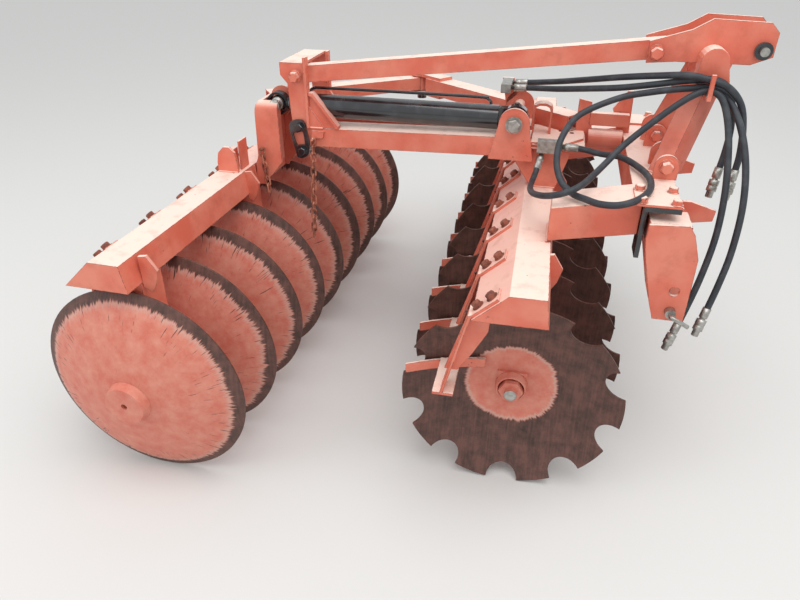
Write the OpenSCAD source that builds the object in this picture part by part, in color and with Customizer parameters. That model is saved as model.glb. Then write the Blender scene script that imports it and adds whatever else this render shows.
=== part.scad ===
// Mounted offset disc harrow with two gangs of dished discs, parked with its gangs closed.
// Sizes are in millimetres. X points forward, Y to the machine's left, Z up, and the ground is z = 0.
// Places are measured from the ground point under the rim of the first rear disc. Every sub-part is
// then moved by the same amount, so that the origin is the middle of the footprint.

/* [Discs] */
// Diameter of every disc
disc_d = 660; // [600:10:680]
// Thickness of a disc
disc_t = 6; // [4:1:8]
// Depth of the dish, from the rim to the crown
disc_dish = 90; // [70:5:100]
// Diameter of the flat seat in the middle of a disc
disc_flat = 130; // [120:5:160]
// Discs on each gang
disc_count = 9; // [9:1:10]
// Distance from disc to disc
disc_pitch = 230; // [225:5:260]
// Notches round a front disc
notch_count = 10; // [8:1:12]
// Radius of the round cutter of a notch, centred on the rim
notch_r = 50; // [30:1:60]

/* [Gangs] */
// Square axle, across flats
axle_w = 40; // [30:1:46]
// Gap between the axle and the square holes
axle_gap = 0.5; // [0.3:0.1:1]
// Radius of a spool's end flange
spool_flange_r = 60; // [50:1:64]
// Radius of a spool's neck, which is also the bearing journal
spool_neck_r = 40; // [36:1:44]
// Thickness of a spool's end flange
spool_flange_t = 12; // [8:1:14]
// Angle by which each gang closes towards the far end
gang_toe = 1.1; // [0:0.1:1.5]
// Distance from the rear gang's first disc to the front gang's, forward
front_gang_x = 1101; // [1050:1:1150]
// Distance from the rear gang's first disc to the front gang's, sideways
front_gang_y = 190; // [150:1:230]

/* [Bearings] */
// Width of a bearing housing
housing_w = 90; // [70:1:96]
// Radius of a bearing housing
housing_r = 75; // [60:1:80]
// Running gap between journal and housing
journal_gap = 0.5; // [0.3:0.1:1]
// Width of a bearing hanger, along the gang
hanger_w = 100; // [80:1:104]
// Depth of a bearing hanger, across the gang
hanger_d = 90; // [70:1:100]
// Plate thickness of the hangers
hanger_t = 8; // [5:1:12]

/* [Gang beams] */
// Height of a gang beam's underside above the ground
beam_z = 680; // [675:1:720]
// Height of a gang beam
beam_h = 85; // [70:1:90]
// Width of a gang beam at its foot
beam_foot_w = 200; // [180:1:220]
// Width of a gang beam's top face
beam_top_w = 95; // [80:1:110]
// Lean of the front face, from foot to top
beam_front_lean = 12; // [4:1:20]
// Wall of a gang beam
beam_wall = 8; // [5:1:10]
// How much longer a gang beam is than its row of disc rims
beam_extra = 200; // [180:5:240]

/* [Frame tubes] */
// Near face of the mast, the main tubes and the gooseneck
mast_y = 800; // [780:1:820]
// Width of the mast over its side plates
mast_w = 245; // [235:1:260]
// Width of one main tube
main_w = 100; // [80:1:105]
// Height of one main tube
main_h = 65; // [50:1:70]
// Wall of the main tubes
main_wall = 6; // [4:1:8]
// Rise of the main tubes towards the front, in degrees
main_rise = 1.5; // [0:0.1:2]
// Side plate thickness of the mast, bracket and gooseneck
plate_t = 12; // [8:1:14]
// Side of the square upper brace
brace_w = 55; // [45:1:60]

/* [Hitch] */
// Middle of the three-point hitch, sideways
hitch_y = 800; // [790:1:810]
// Distance between the middles of the two lower link clevises
lower_span = 850; // [820:5:870]
// Width of a lower clevis over its plates
lower_w = 130; // [110:1:140]
// Plate thickness of the lower clevises
lower_t = 12; // [8:1:16]
// Diameter of the lower link pins
lower_pin_d = 28; // [22:1:30]
// Diameter of the top link pin
top_pin_d = 25; // [19:1:28]
// Height of the lower link pins above the ground
lower_pin_z = 628; // [620:1:640]
// Height of the top link pin above the ground
top_pin_z = 1252; // [1240:1:1260]

/* [Cylinder] */
// Outer diameter of the cylinder's barrel
barrel_d = 80; // [60:1:84]
// Diameter of the piston rod
rod_d = 40; // [30:1:45]
// Distance from the mast's near face to the cylinder's middle
cylinder_in = 60; // [58:1:64]
// Height of the cylinder's middle above the ground
cylinder_z = 985; // [980:1:995]
// Radius of the ball at each end of the cylinder
ball_r = 28; // [24:1:30]

/* [Hidden] */
$fn = 48;

// Paint and metal colours
orange = "#e2684a";
rust = "#6b4540";
steel = "#c8c8c4";
black = "#22262b";

// Disc geometry: the dish is part of a sphere
disc_r = disc_d / 2;
dish_r = (disc_r * disc_r + disc_dish * disc_dish) / (2 * disc_dish);
seat_z = disc_dish - dish_r + sqrt(dish_r * dish_r - disc_flat * disc_flat / 4);
span = (disc_count - 1) * disc_pitch;
square_hole = axle_w + 2 * axle_gap;
// Gap left between faces that are pressed together
fit_gap = 0.02;
spool_len = disc_pitch - disc_t - 2 * fit_gap;

// End pieces of the axles
end_boss_r = 70;
end_boss_t = 28;
end_hole_r = 10;
washer_w = 90;
washer_t = 10;
nut_af = 65;
nut_t = 40;
axle_stub = 18;
axle_thread_r = 19;

// Bearings sit in these gaps between discs, counted from the near end
bearing_gaps = [0, 3, 7];
// Distance from the rear rim plane to the middle of a bearing
bearing_y = 75;

// Dish outlines have this many straight steps between seat and rim
dish_steps = 10;

// Scrapers, measured from their disc's rim plane and the gang's axis
scraper_y = 102;
scraper_x = -188;
scraper_w = 60;
scraper_t = 8;
scraper_h = 32;
scraper_gap = 8;
pad_start = 8;
pad_len = 86;
scraper_z = 425;
scraper_out = -316;
scraper_in = -85;

// Gang beams, measured from their gang's axis
rear_beam_front = 48;
front_beam_front = 77;
rear_beam_start = -40;
front_beam_start = -140;
beam_top = beam_z + beam_h;
beam_len = span + beam_extra;

// Mast and main tubes
mast_front = 276;
mast_foot_x = 226;
mast_head_x = 190;
mast_foot_z = 830;
mast_head_z = 1139;
main_z = 885;
main_end = 1060;
mast_far = mast_y + mast_w;
hollow_h = main_h - 2 * main_wall;

// Height of the main tubes' middle at x
function main_at(x) = main_z + (x - mast_front) * tan(main_rise);

// Front bracket and pedestal
bracket_pin_x = 1003;
bracket_round = 50;
pedestal_top = 912;
pedestal_front = 1240;
pedestal_rear = 1000;
brace_y = mast_y + plate_t + 3 + brace_w / 2;
brace_pin_x = 250;
brace_pin_z = 1097;
brace_pin_r = 12.5;
head_pin_x = 1392;
head_pin_z = 1237;

// Kingpin at the far side, on which the rear gang's frame swings
king_x = 550;
king_y = 1500;
king_r = 20;
arm_w = 80;
arm_h = 60;
arm_z = pedestal_top + arm_h / 2;
arm_wall = 6;
swing_end_x = 1200;
swing_end_y = 1005;
swing_arm_a = atan2(king_y - swing_end_y, swing_end_x - king_x);
swing_arm_len = norm([swing_end_x - king_x, king_y - swing_end_y]);
arm_start = 66;
fork_t = 12;
fork_r = 48;
fork_w = 70;
fork_len = 150;
eye_r = 42;
eye_w = 70;
post_x = 10;
post_y = 1080;
post_w = 80;
rear_arm_a = atan2(king_y - post_y, king_x - post_x);
rear_arm_len = norm([king_x - post_x, king_y - post_y]);
tongue_gap = 3;

// Gooseneck on the rear beam's front face, whose place at a height is rear_face_at
neck_foot_z = 690;
function rear_face_at(z) = rear_beam_front - beam_front_lean * (z - beam_z) / beam_h;

// Rod pin in the gooseneck
rod_pin_x = 150;
grease_r = 9;
cylinder_y = mast_y + cylinder_in;

// Hitch
cross_x = 1370;
cross_w = 120;
cross_z = 815;
cross_h = 100;
hitch_arm_x = 1120;
hitch_arm_y = 355;
hitch_arm_w = 130;
hitch_arm_h = 100;
strut_foot_x = 1478;
strut_head_x = 1575;
strut_head_z = 1270;
strut_w = 60;
strut_d = 70;
strut_foot_half = 150;
strut_top_half = 56;
head_half = 62;
head_z = 1212;
lower_near_y = hitch_y - lower_span / 2;
lower_far_y = hitch_y + lower_span / 2;
lower_pin_x = 1508;
lower_hole_rise = 62;
top_pin_x = 1675;
top_nose_x = 1705;

// Footprint, which sets the origin
rear_most = -disc_r * cos(gang_toe);
near_most = -seat_z - end_boss_t;
far_most = front_gang_y + span + seat_z + end_boss_t;
mid_x = (rear_most + top_nose_x) / 2;
mid_y = (near_most + far_most) / 2;

// Moves a sub-part so that the origin is the middle of the footprint
module placed() {
  translate([-mid_x, -mid_y, 0]) children();
}

// Plan frame of the rear gang, its first rim plane at y = 0
module on_rear() {
  placed() rotate([0, 0, -gang_toe]) children();
}

// Plan frame of the front gang, its first rim plane at y = 0
module on_front() {
  placed() translate([front_gang_x, front_gang_y, 0]) rotate([0, 0, gang_toe]) children();
}

// Plate with an outline in X and Z, from y onwards
module plate_xz(points, y, t) {
  translate([0, y + t, 0]) rotate([90, 0, 0]) linear_extrude(height = t) polygon(points);
}

// Round bar along Y
module bar_y(x, y, z, r, len) {
  translate([x, y, z]) rotate([-90, 0, 0]) cylinder(r = r, h = len);
}

// Rectangular tube from point p to point q, w wide and h high
module tube(p, q, w, h, wall) {
  d = q - p;
  flat = norm([d[0], d[1]]);
  translate(p) rotate([0, -atan2(d[2], flat), atan2(d[1], d[0])]) translate([0, -w / 2, -h / 2])
    difference() {
      cube([norm(d), w, h]);
      translate([-1, wall, wall]) cube([norm(d) + 2, w - 2 * wall, h - 2 * wall]);
    }
}

// Height of the dish over the rim plane at radius r, on a sphere that is inset by the value in
function dish_z(r, in = 0) = disc_dish - dish_r + sqrt((dish_r - in) * (dish_r - in) - r * r);

// One dished disc: rim plane at z = 0, crown towards +Z, square hole in its flat seat
module disc() {
  step = (disc_r - disc_flat / 2) / dish_steps;
  outer = [for (i = [1 : dish_steps]) let (r = disc_flat / 2 + i * step) [r, dish_z(r)]];
  inner = [for (i = [dish_steps : -1 : 1]) let (r = disc_flat / 2 + i * step) [r, dish_z(r, disc_t)]];
  difference() {
    rotate_extrude()
      polygon(concat([[0, seat_z], [disc_flat / 2, seat_z]], outer, inner,
                     [[disc_flat / 2, seat_z - disc_t], [0, seat_z - disc_t]]));
    translate([0, 0, seat_z]) cube([square_hole, square_hole, 4 * disc_t], center = true);
  }
}

// Disc with round notches in its rim
module notched_disc() {
  difference() {
    disc();
    for (i = [0 : notch_count - 1])
      rotate([0, 0, (i + 0.5) * 360 / notch_count]) translate([disc_r, 0, -disc_t * 3])
        cylinder(r = notch_r, h = disc_dish);
  }
}

// Spool along +Z with a square hole; the waist runs from flange to flange
module spool(first_slope, last_slope) {
  r = spool_flange_r;
  n = spool_neck_r;
  t = spool_flange_t;
  difference() {
    rotate_extrude()
      polygon([[0, 0], [r, 0], [r, t], [n, t + first_slope], [n, spool_len - t - last_slope],
               [r, spool_len - t], [r, spool_len], [0, spool_len]]);
    translate([-square_hole / 2, -square_hole / 2, -1])
      cube([square_hole, square_hole, spool_len + 2]);
  }
}

// All spools of a gang whose first spool starts at y = start; crown is 1 on the front gang
module spools(start, crown) {
  for (i = [0 : disc_count - 2]) {
    held = len(search(i, bearing_gaps)) > 0;
    long_first = crown > 0 ? 0.01 : 28;
    long_last = crown > 0 ? 28 : 0.01;
    translate([0, start + fit_gap + i * disc_pitch, disc_r]) rotate([-90, 0, 0])
      spool(held ? long_first : 28, held ? long_last : 28);
  }
}

// Axle with its nut and washer on the hollow side of the end disc and a boss on the crowned side
module axle() {
  hollow = span + disc_t + washer_t + nut_t + axle_stub;
  boss = end_boss_t;
  // z = 0 is the crowned face of the boss side's end disc, the hollow end is up
  difference() {
    translate([0, 0, -boss - fit_gap]) cylinder(r1 = end_boss_r - 8, r2 = end_boss_r, h = boss);
    translate([0, 0, -boss - 1]) cylinder(r = end_hole_r, h = boss);
  }
  translate([-axle_w / 2, -axle_w / 2, -1]) cube([axle_w, axle_w, span + disc_t + washer_t]);
  translate([0, 0, span + disc_t + fit_gap]) {
    translate([-washer_w / 2, -washer_w / 2, 0]) cube([washer_w, washer_w, washer_t]);
    translate([0, 0, washer_t]) cylinder(r = nut_af / sqrt(3), h = nut_t, $fn = 6);
    cylinder(r = axle_thread_r, h = hollow - span - disc_t);
  }
}

// Bearing housing on a journal, its middle at y, with a foot that carries the hanger
module housing(y) {
  translate([0, y - housing_w / 2, disc_r]) rotate([-90, 0, 0]) difference() {
    union() {
      cylinder(r = housing_r, h = housing_w);
      translate([-hanger_d / 2, -housing_r - 12, 0]) cube([hanger_d, housing_r + 12, housing_w]);
    }
    translate([0, 0, -1]) cylinder(r = spool_neck_r + journal_gap, h = housing_w + 2);
  }
}

// Folded channel from the beam's underside down to the housing, open towards the rear
module hanger(y) {
  z0 = disc_r + housing_r + 12;
  translate([-hanger_d / 2, y - hanger_w / 2, z0]) difference() {
    cube([hanger_d, hanger_w, beam_z - z0]);
    translate([-1, hanger_t, hanger_t])
      cube([hanger_d - hanger_t + 1, hanger_w - 2 * hanger_t, beam_z - z0 - 2 * hanger_t]);
  }
}

// Trapezoid gang beam, its front foot edge at x = front
module beam(front, start) {
  lean = beam_front_lean;
  w = beam_wall;
  difference() {
    plate_xz([[front - beam_foot_w, beam_z], [front, beam_z], [front - lean, beam_top],
              [front - lean - beam_top_w, beam_top]], start, beam_len);
    plate_xz([[front - beam_foot_w + 2.4 * w, beam_z + w], [front - 1.2 * w, beam_z + w],
              [front - lean - 1.2 * w, beam_top - w], [front - lean - beam_top_w + 0.6 * w, beam_top - w]],
             start + w, beam_len - 2 * w);
  }
}

// Scraper of a front disc: a pad on the beam's sloped rear face, an arm down from it, a tongue
// towards the disc and a blade that follows the hollow; the disc's rim plane is at y = 0
module scraper(front) {
  foot_x = front - beam_foot_w;
  slope = atan2(beam_h, beam_foot_w - beam_front_lean - beam_top_w);
  y = -scraper_y - scraper_w / 2;
  dz = scraper_z - disc_r;
  xs = [for (i = [0 : 6]) scraper_out + i * (scraper_in - scraper_out) / 6];
  far = [for (x = xs) [x, dish_z(norm([x, dz]), disc_t) - scraper_gap]];
  near = [for (i = [6 : -1 : 0]) [xs[i], far[i][1] - scraper_t]];
  u = [cos(slope), sin(slope)];
  n = [-sin(slope), cos(slope)];
  pad = [foot_x, beam_z] + pad_start * u;
  plate_xz([pad + fit_gap * n, pad + pad_len * u + fit_gap * n, pad + pad_len * u + scraper_t * n,
            pad + scraper_t * n], y, scraper_w);
  plate_xz([pad + scraper_t * n, pad + scraper_t / 4 * n, [foot_x - 2, beam_z - 2], [scraper_x, scraper_z],
            [scraper_x - scraper_t, scraper_z], pad + 1.4 * scraper_t * n - pad_start * u], y, scraper_w);
  translate([scraper_x - 30, y, scraper_z - scraper_t])
    cube([60, dish_z(norm([scraper_x + 30, dz]), disc_t) - scraper_gap - 14 - y, scraper_t]);
  translate([0, 0, scraper_z - scraper_h]) linear_extrude(height = scraper_h)
    polygon(concat(far, near));
}

module main_tubes() color(orange) placed() {
  a = mast_front + fit_gap;
  for (y = [mast_y, mast_far - main_w]) difference() {
    plate_xz([[a, main_at(a) - main_h / 2], [main_end, main_at(main_end) - main_h / 2],
              [main_end, main_at(main_end) + main_h / 2], [a, main_at(a) + main_h / 2]], y, main_w);
    plate_xz([[a - 1, main_at(a - 1) - hollow_h / 2], [main_end + 1, main_at(main_end + 1) - hollow_h / 2],
              [main_end + 1, main_at(main_end + 1) + hollow_h / 2], [a - 1, main_at(a - 1) + hollow_h / 2]],
             y + main_wall, main_w - 2 * main_wall);
  }
}

module mast_upright() color(orange) placed() {
  outline = [[mast_foot_x, mast_foot_z], [mast_front, mast_foot_z], [mast_front, mast_head_z],
             [mast_head_x, mast_head_z], [mast_head_x, mast_head_z - 42],
             [mast_foot_x - 12, mast_head_z - 70]];
  difference() {
    union() {
      plate_xz(outline, mast_y, plate_t);
      plate_xz([[brace_pin_x - 26, brace_pin_z - 26], [mast_front, brace_pin_z - 26],
                [mast_front, mast_head_z - 4], [brace_pin_x - 26, mast_head_z - 4]],
               brace_y + brace_w / 2 + 3, plate_t);
    }
    bar_y(brace_pin_x, mast_y - 1, brace_pin_z, brace_pin_r + 0.3, mast_w);
  }
  plate_xz(outline, mast_far - plate_t, plate_t);
  // Cap, foot and gussets
  translate([mast_head_x, mast_y + plate_t, mast_head_z - 8])
    cube([mast_front - mast_head_x, mast_w - 2 * plate_t, 8]);
  translate([mast_foot_x, mast_y + plate_t, mast_foot_z])
    cube([mast_front - mast_foot_x, mast_w - 2 * plate_t, 80]);
  for (y = [mast_y, mast_far - plate_t])
    plate_xz([[mast_front - 1, main_at(mast_front - 1) + main_h / 2 + fit_gap],
              [mast_front + 65, main_at(mast_front + 65) + main_h / 2 + fit_gap], [mast_front - 1, 1010]],
             y, plate_t);
}

module front_bracket() color(orange) placed() {
  for (y = [mast_y - plate_t, mast_far]) {
    plate_xz([[925, 862], [1075, 862], [bracket_pin_x + bracket_round, cylinder_z],
              [bracket_pin_x - bracket_round, cylinder_z]], y, plate_t);
    bar_y(bracket_pin_x, y, cylinder_z, bracket_round, plate_t);
  }
  bar_y(bracket_pin_x, mast_y - plate_t - 10, cylinder_z, 20, mast_w + 2 * plate_t + 20);
  translate([bracket_pin_x, cylinder_y, cylinder_z]) sphere(r = ball_r);
}

module pedestal() color(orange) placed() {
  under = main_h / 2 + fit_gap;
  for (y = [mast_y + 20, mast_far - 40])
    plate_xz([[1075, beam_top + fit_gap], [1160, beam_top + fit_gap], [1200, pedestal_top - plate_t],
              [main_end + 2, pedestal_top - plate_t], [main_end + 2, main_at(main_end + 2) - under],
              [pedestal_rear, main_at(pedestal_rear) - under]], y, plate_t);
  translate([main_end + fit_gap, mast_y + 15, pedestal_top - plate_t])
    cube([pedestal_front - main_end, mast_w - 20, plate_t]);
}

module swing_arm() color(orange) placed() translate([king_x, king_y, arm_z]) rotate([0, 0, -swing_arm_a]) {
  tube([arm_start, 0, 0], [swing_arm_len, 0, 0], arm_w, arm_h, arm_wall);
  for (z = [-arm_h / 2 - fork_t, arm_h / 2]) translate([0, 0, z]) difference() {
    union() {
      cylinder(r = fork_r, h = fork_t);
      translate([0, -fork_w / 2, 0]) cube([fork_len, fork_w, fork_t]);
    }
    translate([0, 0, -1]) cylinder(r = king_r + 0.3, h = fork_t + 2);
  }
}

module kingpin() color(black) placed() {
  translate([king_x, king_y, arm_z - arm_h / 2 - fork_t - 25])
    cylinder(r = king_r, h = arm_h + 2 * fork_t + 25);
  translate([king_x, king_y, arm_z + arm_h / 2 + fork_t]) cylinder(r = king_r + 12, h = 14);
}

module upper_brace() color(orange) placed() difference() {
  tube([brace_pin_x - 34, brace_y, brace_pin_z - 4], [head_pin_x + 34, hitch_y, head_pin_z + 4],
       brace_w, brace_w, 5);
  bar_y(brace_pin_x, mast_y, brace_pin_z, brace_pin_r + 0.3, mast_w);
  bar_y(head_pin_x, hitch_y - head_half, head_pin_z, brace_pin_r + 0.3, 2 * head_half);
}

module brace_pins() color(steel) placed() {
  bar_y(brace_pin_x, mast_y - 14, brace_pin_z, brace_pin_r, brace_y - mast_y + brace_w / 2 + 34);
  bar_y(head_pin_x, hitch_y - head_half - 14, head_pin_z, brace_pin_r, 2 * head_half + 28);
}

module headstock() color(orange) placed() {
  for (y = [hitch_y - head_half, hitch_y + head_half - plate_t]) difference() {
    plate_xz([[1370, 1205], [1370, 1265], [1480, 1300], [1530, 1330], [1680, 1325], [top_nose_x, 1300],
              [top_nose_x, 1235], [1650, head_z], [1450, head_z]], y, plate_t);
    bar_y(top_pin_x, y - 1, top_pin_z, top_pin_d / 2 + 0.3, plate_t + 2);
    bar_y(head_pin_x, y - 1, head_pin_z, brace_pin_r + 0.3, plate_t + 2);
  }
}

module hitch_struts() color(orange) placed() {
  for (s = [-1, 1]) intersection() {
    tube([strut_foot_x - 20, hitch_y + s * strut_foot_half * 1.12, cross_z + cross_h - 40],
         [strut_head_x, hitch_y + s * strut_top_half * 0.8, strut_head_z], strut_w, strut_d, 6);
    translate([cross_x - 70, hitch_y - 2 * strut_foot_half, cross_z + cross_h + fit_gap])
      cube([400, 4 * strut_foot_half, head_z - cross_z - cross_h - 2 * fit_gap]);
  }
}

module top_link_pin() color(steel) placed() {
  bar_y(top_pin_x, hitch_y - head_half - 25, top_pin_z, top_pin_d / 2, 2 * head_half + 50);
}

module hitch_crossbeam() color(orange) placed() {
  tube([cross_x + cross_w / 2, lower_near_y + lower_w / 2, cross_z + cross_h / 2],
       [cross_x + cross_w / 2, lower_far_y - lower_w / 2, cross_z + cross_h / 2], cross_w, cross_h, 8);
}

module hitch_arms() color(orange) placed() {
  for (s = [-1, 1]) intersection() {
    tube([hitch_arm_x - 60, hitch_y + s * hitch_arm_y, beam_top + hitch_arm_h / 2 - 12],
         [cross_x + 20, hitch_y + s * hitch_arm_y, cross_z + cross_h / 2 + 4], hitch_arm_w, hitch_arm_h, 8);
    translate([hitch_arm_x - 80, 0, beam_top + fit_gap])
      cube([cross_x - hitch_arm_x + 80 - fit_gap, 3 * hitch_y, 300]);
  }
}

// Clevis for a lower link, its middle at y
module lower_hitch(y) {
  outline = [[1407, 880], [1507, 886], [1525, 861], [1547, 793], [1549, 669], [1549, 597],
             [1466, 597], [1449, 647], [1413, 790], [1405, 834]];
  difference() {
    union() {
      plate_xz(outline, y - lower_w / 2, lower_t);
      plate_xz(outline, y + lower_w / 2 - lower_t, lower_t);
      translate([1412, y - lower_w / 2 + lower_t, 810]) cube([105, lower_w - 2 * lower_t, 68]);
    }
    bar_y(lower_pin_x, y - lower_w, lower_pin_z, lower_pin_d / 2 + 0.3, 2 * lower_w);
    bar_y(lower_pin_x, y - lower_w, lower_pin_z + lower_hole_rise, lower_pin_d / 2 + 0.3, 2 * lower_w);
  }
}

module lower_hitch_near() color(orange) placed() lower_hitch(lower_near_y);

module lower_hitch_far() color(orange) placed() lower_hitch(lower_far_y);

module lower_link_pins() color(steel) placed() {
  for (y = [lower_near_y, lower_far_y])
    bar_y(lower_pin_x, y - lower_w / 2 - 20, lower_pin_z, lower_pin_d / 2, lower_w + 40);
}

module front_beam() color(orange) on_front() beam(front_beam_front, front_beam_start);

module front_hangers() color(orange) on_front()
  for (i = bearing_gaps) hanger(i * disc_pitch + disc_pitch - bearing_y + 6);

module front_bearings() color(orange) on_front()
  for (i = bearing_gaps) housing(i * disc_pitch + disc_pitch - bearing_y + 6);

module front_scrapers() color(orange) on_front()
  for (i = [0 : disc_count - 1]) translate([0, i * disc_pitch, 0]) scraper(front_beam_front);

module stop_link() color(black) placed() {
  plate_xz([[222, 812], [270, 812], [270, 930], [222, 930]], mast_y - 10, 10);
}

module limit_chain() color(rust) placed() {
  translate([300, mast_y - 6.3, 500]) cylinder(r = 6, h = 380);
}

module front_discs() color(rust) on_front()
  for (i = [0 : disc_count - 1]) translate([0, i * disc_pitch, disc_r]) rotate([-90, 0, 0]) notched_disc();

module front_spools() color(rust) on_front() spools(seat_z, 1);

module front_axle() color(rust) on_front()
  translate([0, span + seat_z, disc_r]) rotate([90, 0, 0]) axle();

module rear_beam() color(orange) on_rear() beam(rear_beam_front, rear_beam_start);

module rear_hangers() color(orange) on_rear()
  for (i = bearing_gaps) hanger(i * disc_pitch + bearing_y);

module rear_bearings() color(orange) on_rear()
  for (i = bearing_gaps) housing(i * disc_pitch + bearing_y);

module rear_scrapers() color(orange) on_rear()
  for (i = [0 : disc_count - 1]) translate([0, i * disc_pitch, 0]) mirror([0, 1, 0])
    scraper(rear_beam_front);

module gooseneck() color(orange) {
  foot = rear_face_at(neck_foot_z);
  head = rear_face_at(beam_top);
  on_rear() plate_xz([[foot + fit_gap, neck_foot_z], [foot + 14, neck_foot_z], [head + 14, beam_top],
                      [head + fit_gap, beam_top]], mast_y + 1.5, mast_w - 2);
  placed() difference() {
    union() {
      for (y = [mast_y, mast_far - plate_t])
        plate_xz([[70, neck_foot_z], [60, beam_top], [88, 800], [84, 960], [96, 1012], [140, 1050],
                  [184, 1056], [186, 1020], [180, 960], [160, 800], [110, 700]], y, plate_t);
      plate_xz([[84, 960], [96, 1012], [140, 1050], [184, 1056], [184, 1046], [144, 1041],
                [104, 1007], [93, 960], [97, 800], [88, 800]], mast_y + plate_t, mast_w - 2 * plate_t);
      plate_xz([[76, 740], [64, beam_top], [90, 802], [100, 800], [78, 765]], mast_y + plate_t,
               mast_w - 2 * plate_t);
    }
    bar_y(rod_pin_x, mast_y - 1, cylinder_z, 20.3, mast_w + 2);
  }
}

module rod_pin() color(steel) placed() {
  bar_y(rod_pin_x, mast_y - 10, cylinder_z, 20, mast_w + 20);
  translate([rod_pin_x, cylinder_y, cylinder_z]) sphere(r = ball_r);
}

module rear_arm() color(orange) placed() {
  h = arm_h - 2 * tongue_gap;
  translate([king_x, king_y, arm_z]) rotate([0, 0, rear_arm_a]) {
    translate([0, 0, -h / 2]) difference() {
      cylinder(r = eye_r, h = h);
      translate([0, 0, -1]) cylinder(r = king_r + 0.5, h = h + 2);
    }
    tube([-rear_arm_len, 0, 0], [-king_r - 6, 0, 0], eye_w, h - 4, arm_wall);
  }
  translate([post_x - post_w / 2, post_y - post_w / 2, beam_top + fit_gap])
    cube([post_w, post_w, arm_z - h / 2 + 8 - beam_top]);
}

module rear_discs() color(orange) on_rear()
  for (i = [0 : disc_count - 1]) translate([0, i * disc_pitch, disc_r]) rotate([90, 0, 0]) disc();

module rear_spools() color(rust) on_rear() spools(-seat_z + disc_t, -1);

module rear_axle() color(rust) on_rear()
  translate([0, -seat_z, disc_r]) rotate([-90, 0, 0]) axle();

module cylinder_barrel() color(black) placed() difference() {
  union() {
    translate([205, cylinder_y, cylinder_z]) rotate([0, 90, 0]) cylinder(r = barrel_d / 2, h = 740);
    bar_y(bracket_pin_x, cylinder_y - 17, cylinder_z, 45, 34);
    translate([930, cylinder_y - 17, cylinder_z - 35]) cube([60, 34, 70]);
    // Grease boss over the ball
    translate([bracket_pin_x, cylinder_y, cylinder_z]) cylinder(r = grease_r, h = 51);
  }
  translate([204, cylinder_y, cylinder_z]) rotate([0, 90, 0]) cylinder(r = rod_d / 2 + 0.3, h = 600);
  bar_y(bracket_pin_x, cylinder_y - 60, cylinder_z, ball_r + 1, 120);
}

module cylinder_rod() color(steel) placed() difference() {
  union() {
    translate([185, cylinder_y, cylinder_z]) rotate([0, 90, 0]) cylinder(r = rod_d / 2, h = 600);
    bar_y(rod_pin_x, cylinder_y - 16, cylinder_z, 40, 32);
  }
  bar_y(rod_pin_x, cylinder_y - 60, cylinder_z, ball_r + 4, 120);
}

main_tubes();
mast_upright();
front_bracket();
pedestal();
swing_arm();
kingpin();
upper_brace();
brace_pins();
headstock();
hitch_struts();
top_link_pin();
hitch_crossbeam();
hitch_arms();
lower_hitch_near();
lower_hitch_far();
lower_link_pins();
front_beam();
front_hangers();
front_bearings();
front_scrapers();
stop_link();
limit_chain();
front_discs();
front_spools();
front_axle();
rear_beam();
rear_hangers();
rear_bearings();
rear_scrapers();
gooseneck();
rod_pin();
rear_arm();
rear_discs();
rear_spools();
rear_axle();
cylinder_barrel();
cylinder_rod();
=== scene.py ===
"""Looks of a mounted offset disc harrow: worn paint and steel on the CAD frame, its fittings and stage."""

import math
import bmesh
import bpy
from bpy.props import FloatProperty, PointerProperty, StringProperty
from mathutils import Matrix, Vector


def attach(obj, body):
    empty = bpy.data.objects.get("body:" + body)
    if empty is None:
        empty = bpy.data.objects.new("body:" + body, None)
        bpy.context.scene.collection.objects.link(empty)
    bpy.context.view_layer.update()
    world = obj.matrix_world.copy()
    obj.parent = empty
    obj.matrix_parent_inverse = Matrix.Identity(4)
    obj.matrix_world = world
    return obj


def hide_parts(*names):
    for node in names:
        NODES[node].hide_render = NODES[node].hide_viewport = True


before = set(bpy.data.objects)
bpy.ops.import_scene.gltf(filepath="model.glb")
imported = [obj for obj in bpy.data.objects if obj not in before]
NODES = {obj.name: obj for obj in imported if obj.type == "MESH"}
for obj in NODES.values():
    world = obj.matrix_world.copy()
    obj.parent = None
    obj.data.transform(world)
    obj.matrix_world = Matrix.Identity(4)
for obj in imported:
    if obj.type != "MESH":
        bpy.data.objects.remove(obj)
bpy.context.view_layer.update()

bl_info = {
    "name": "Disc harrow looks",
    "version": (1, 0, 0),
    "blender": (4, 5, 0),
    "location": "View3D > Sidebar > Harrow",
    "description": "Paints, bolts and lights a mounted offset disc harrow",
    "category": "Object",
}

# Places are metres from the ground under the first rear disc's rim. This is where that point lies in the
# row's frame.
GROUND_POINT = Vector((-0.68753, -1.015, 0.0))
FRONT_GANG = (1.101, 0.19, 0.0)
TOE = math.radians(1.1)
DISC_COUNT = 9
DISC_PITCH = 0.23
AXLE_HEIGHT = 0.33
BEAM_FOOT = 0.68
BEAM_TOP = 0.7655
HANGER_DISCS = (0, 3, 7)
HITCH_MIDDLE = 0.8

# Cut plate: its usual thickness, and how far its edges are rounded
PLATE = 0.012
EDGE = 0.001

# The slope of the scrapers' pads and how thick a pad is
SCRAPER_SLOPE = math.radians(42.44)
PAD = 0.008
# For each gang the body that carries its beam, the foot of its scraper pads in X, and the places in Y of the
# pads and of the hangers, measured from each disc
GANGS = {
    "front": ("frame", -0.123, -0.102, 0.161),
    "rear": ("rear_carrier", -0.152, 0.102, 0.075),
}

# Heads of the bolts on the pins, the stop link and the clamps
PIN_HEAD = {"Width": 0.04, "Height": 0.02, "Washer": 0.056}
PAINTED_PIN_HEAD = {"Width": 0.031, "Height": 0.02, "Washer": 0.044}
SMALL_HEAD = {"Width": 0.024, "Height": 0.013, "Washer": 0.032}
FLATS_TO_CORNER = 0.57735
# A turn in radians from one bolt head to the next, so that no two stand alike
UNLIKE_TURN = 2.399

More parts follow.
